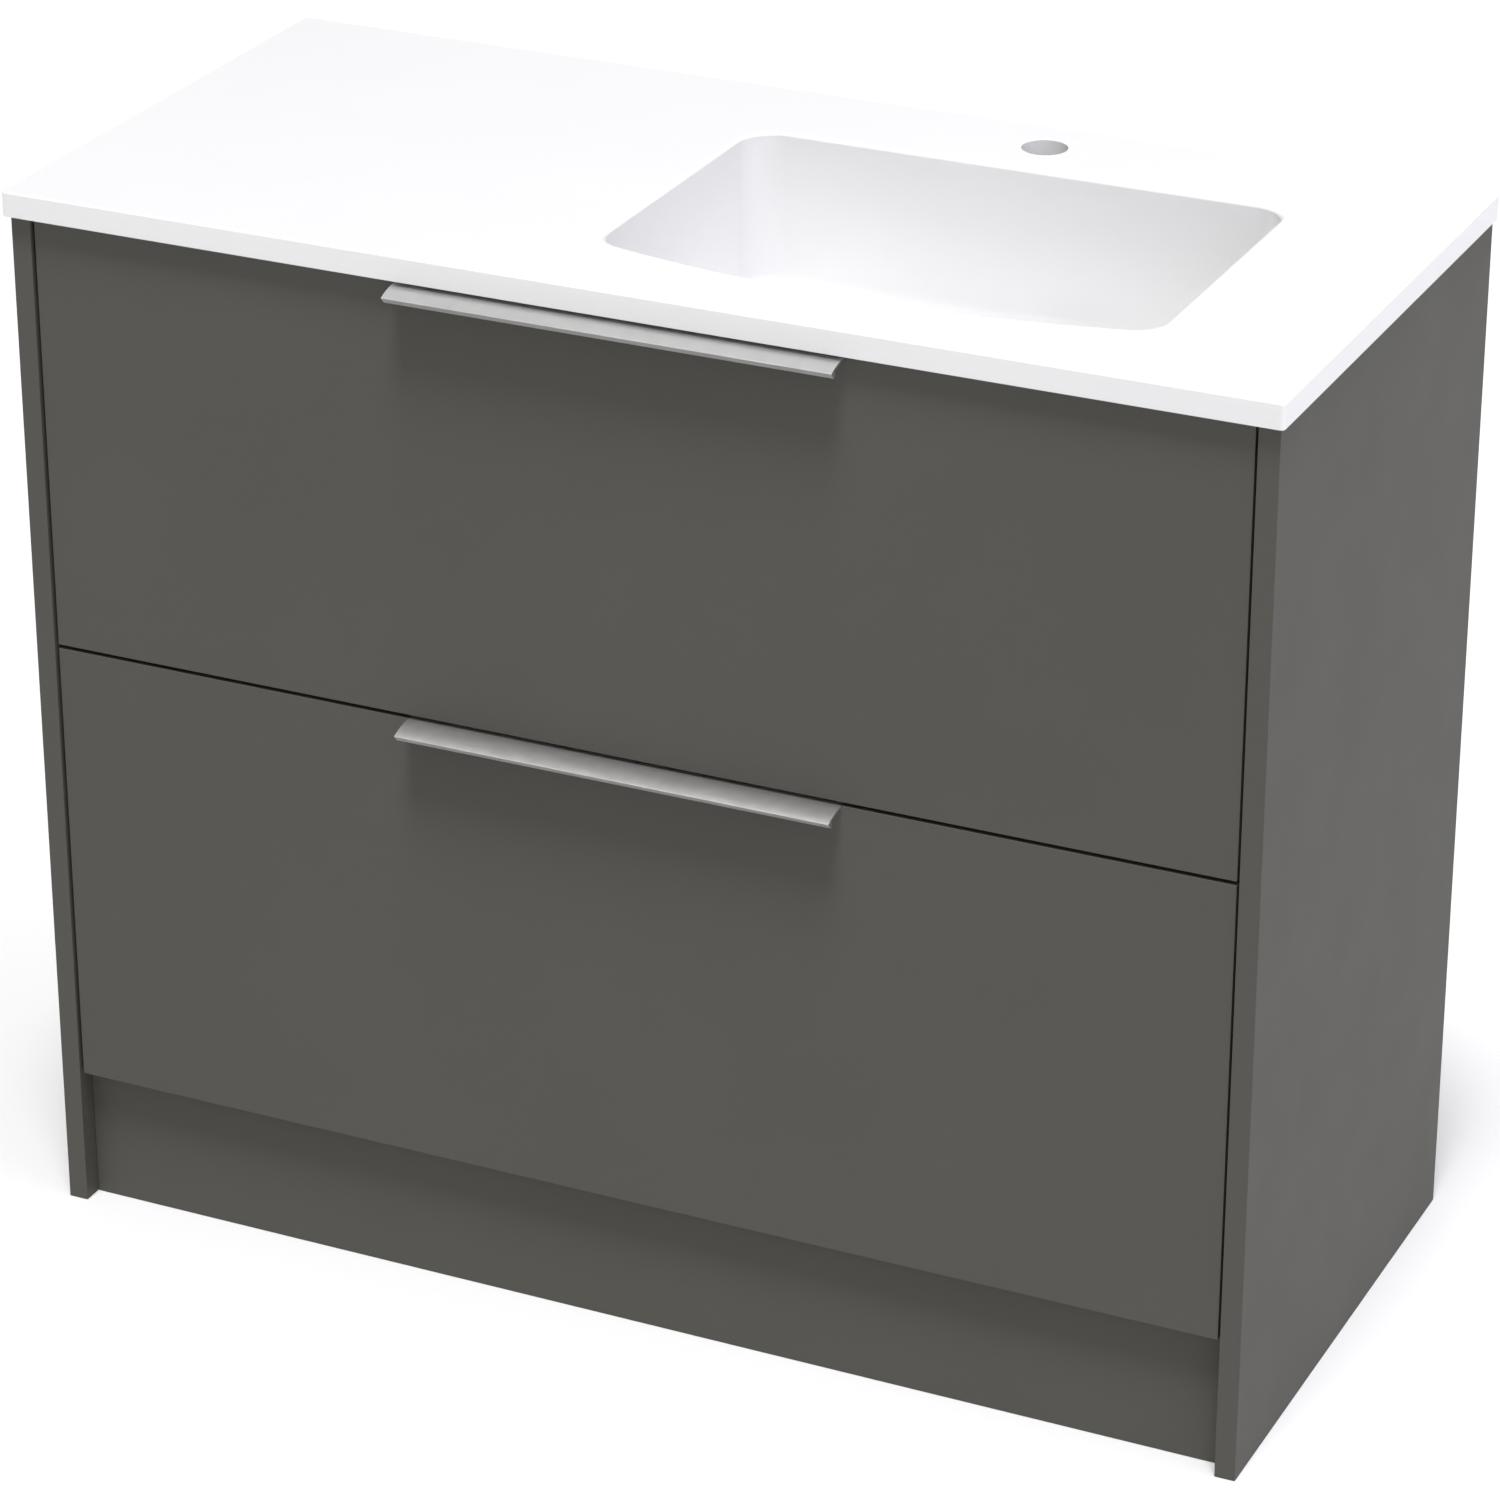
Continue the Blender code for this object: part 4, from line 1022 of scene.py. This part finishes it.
# ---------------------------------------------------------------- studio
CAMERA_AZIMUTH = 24.955
CAMERA_ELEVATION = 25.331
CAMERA_DISTANCE = 3.9635
CAMERA_TARGET = Vector((0.1045, panel_low.y, 0.5145))
CAMERA_LENS = 132.2
FLOOR_SIZE = 40.0
FLOOR_HEIGHT = -0.2 * MM
FLOOR_PALE = (0.735, 0.735, 0.735)
PURE_WHITE = (1.0, 1.0, 1.0)
SKY_LEVEL = 0.09
SKY_SLOPE = (0.33, -0.12, 0.48)  # brighter overhead and towards the right
SUN_DIRECTION = (15.0, 75.0)  # azimuth and elevation, like the two below
SUN_STRENGTH = 3.3
SUN_WIDTH = 17
SOFTBOX_DISTANCE = 4.0
FRONT_DIRECTION = (0.0, 48.0)
FRONT_SIZE = 1.8
FRONT_POWER = 3
SIDE_DIRECTION = (86.0, 42.0)
SIDE_SIZE = 3.4
SIDE_POWER = 35
SIDE_COLOUR = (0.75, 0.75, 1.0)


def away(azimuth, elevation):
    """Unit vector from the object: azimuth 0 is in front, 90 to the right."""
    a, e = math.radians(azimuth), math.radians(elevation)
    return Vector((math.sin(a) * math.cos(e), -math.cos(a) * math.cos(e), math.sin(e)))


def build_camera():
    data = bpy.data.cameras.new("camera")
    data.lens = CAMERA_LENS
    data.clip_end = 100
    camera = bpy.data.objects.new("camera", data)
    bpy.context.scene.collection.objects.link(camera)
    back = away(CAMERA_AZIMUTH, CAMERA_ELEVATION)
    camera.location = CAMERA_TARGET + back * CAMERA_DISTANCE
    camera.rotation_euler = (-back).to_track_quat("-Z", "Y").to_euler()
    bpy.context.scene.camera = camera


def build_softbox(name, direction, size, power, colour):
    """A round soft light aimed at the middle of the cabinet."""
    data = bpy.data.lights.new(name, "AREA")
    data.shape = "DISK"
    data.size = size
    data.energy = power
    data.color = colour
    light = bpy.data.objects.new(name, data)
    bpy.context.scene.collection.objects.link(light)
    target = Vector((0, 0, HEIGHT / 2))
    towards = away(*direction)
    light.location = target + towards * SOFTBOX_DISTANCE
    light.rotation_euler = (-towards).to_track_quat("-Z", "Y").to_euler()


def build_sun():
    """A wide soft overhead light, a little to the front and right."""
    data = bpy.data.lights.new("overhead", "SUN")
    data.energy = SUN_STRENGTH
    data.angle = math.radians(SUN_WIDTH)
    light = bpy.data.objects.new("overhead", data)
    bpy.context.scene.collection.objects.link(light)
    light.rotation_euler = (-away(*SUN_DIRECTION)).to_track_quat("-Z", "Y").to_euler()


def build_sky():
    """A sloping pale sky that looks white where the camera sees it directly."""
    world = bpy.data.worlds.new("studio")
    world.use_nodes = True
    tree = world.node_tree
    soft = tree.nodes["Background"]
    soft.inputs["Color"].default_value = (*PURE_WHITE, 1.0)
    direction = tree.nodes.new("ShaderNodeTexCoord").outputs["Generated"]
    slope = tree.nodes.new("ShaderNodeVectorMath")
    slope.operation = "DOT_PRODUCT"
    slope.inputs[1].default_value = SKY_SLOPE
    tree.links.new(direction, slope.inputs[0])
    strength = tree.nodes.new("ShaderNodeMath")
    strength.use_clamp = True
    strength.inputs[1].default_value = SKY_LEVEL
    tree.links.new(slope.outputs["Value"], strength.inputs[0])
    tree.links.new(strength.outputs[0], soft.inputs["Strength"])
    seen = tree.nodes.new("ShaderNodeBackground")
    seen.inputs["Color"].default_value = (*PURE_WHITE, 1.0)
    path = tree.nodes.new("ShaderNodeLightPath")
    mix = tree.nodes.new("ShaderNodeMixShader")
    tree.links.new(path.outputs["Is Camera Ray"], mix.inputs[0])
    tree.links.new(soft.outputs[0], mix.inputs[1])
    tree.links.new(seen.outputs[0], mix.inputs[2])
    tree.links.new(mix.outputs[0], tree.nodes["World Output"].inputs["Surface"])
    bpy.context.scene.world = world


def build_floor():
    """A wide pale ground just below the feet."""
    matt = {"Specular IOR Level": 0.0}
    material = new_material("pale_floor", FLOOR_PALE, roughness=0.9, uniform=matt)
    texture = Texture(material)
    cloud = texture.spread(texture.noise(scale=1.5, detail=2.0), low=0.0, high=1.0)
    texture.use(base_color=texture.mix(cloud, tinted(FLOOR_PALE, 0.99), FLOOR_PALE))
    bm = bmesh.new()
    half = FLOOR_SIZE / 2
    corners = ((-half, -half), (half, -half), (half, half), (-half, half))
    bm.faces.new(add_loop(bm, [(x, y, FLOOR_HEIGHT) for x, y in corners]))
    floor = add_object("floor", make_mesh("floor", bm, material, sharp=30))


def build_studio():
    bpy.context.scene.view_settings.view_transform = "Standard"
    build_sky()
    build_floor()
    build_sun()
    build_softbox("front_softbox", FRONT_DIRECTION, FRONT_SIZE, FRONT_POWER, PURE_WHITE)
    build_softbox("right_softbox", SIDE_DIRECTION, SIDE_SIZE, SIDE_POWER, SIDE_COLOUR)
    build_camera()


# ---------------------------------------------------------------- the object
finish_boards()
build_top()
build_waste_tail()
build_waste_seal()
build_waste_nut()
build_waste_plug()
handle_screw = screw_mesh(
    "handle_screw", head_radius=3.75 * MM, head_height=HANDLE_SCREW_HEAD, length=13.5 * MM
)
bracket_screw = screw_mesh(
    "bracket_screw", head_radius=3.6 * MM, head_height=2.2 * MM, length=12 * MM
)
runner_screw = screw_mesh(
    "runner_screw", head_radius=3.4 * MM, head_height=0.9 * MM, length=12 * MM
)
for drawer in DRAWERS:
    build_handle(drawer)
    build_handle_screws(drawer, handle_screw)
    build_runner_screws(drawer, runner_screw)
    build_bumpers(drawer)
build_bracket_screws(bracket_screw)
finish_runners()
build_studio()
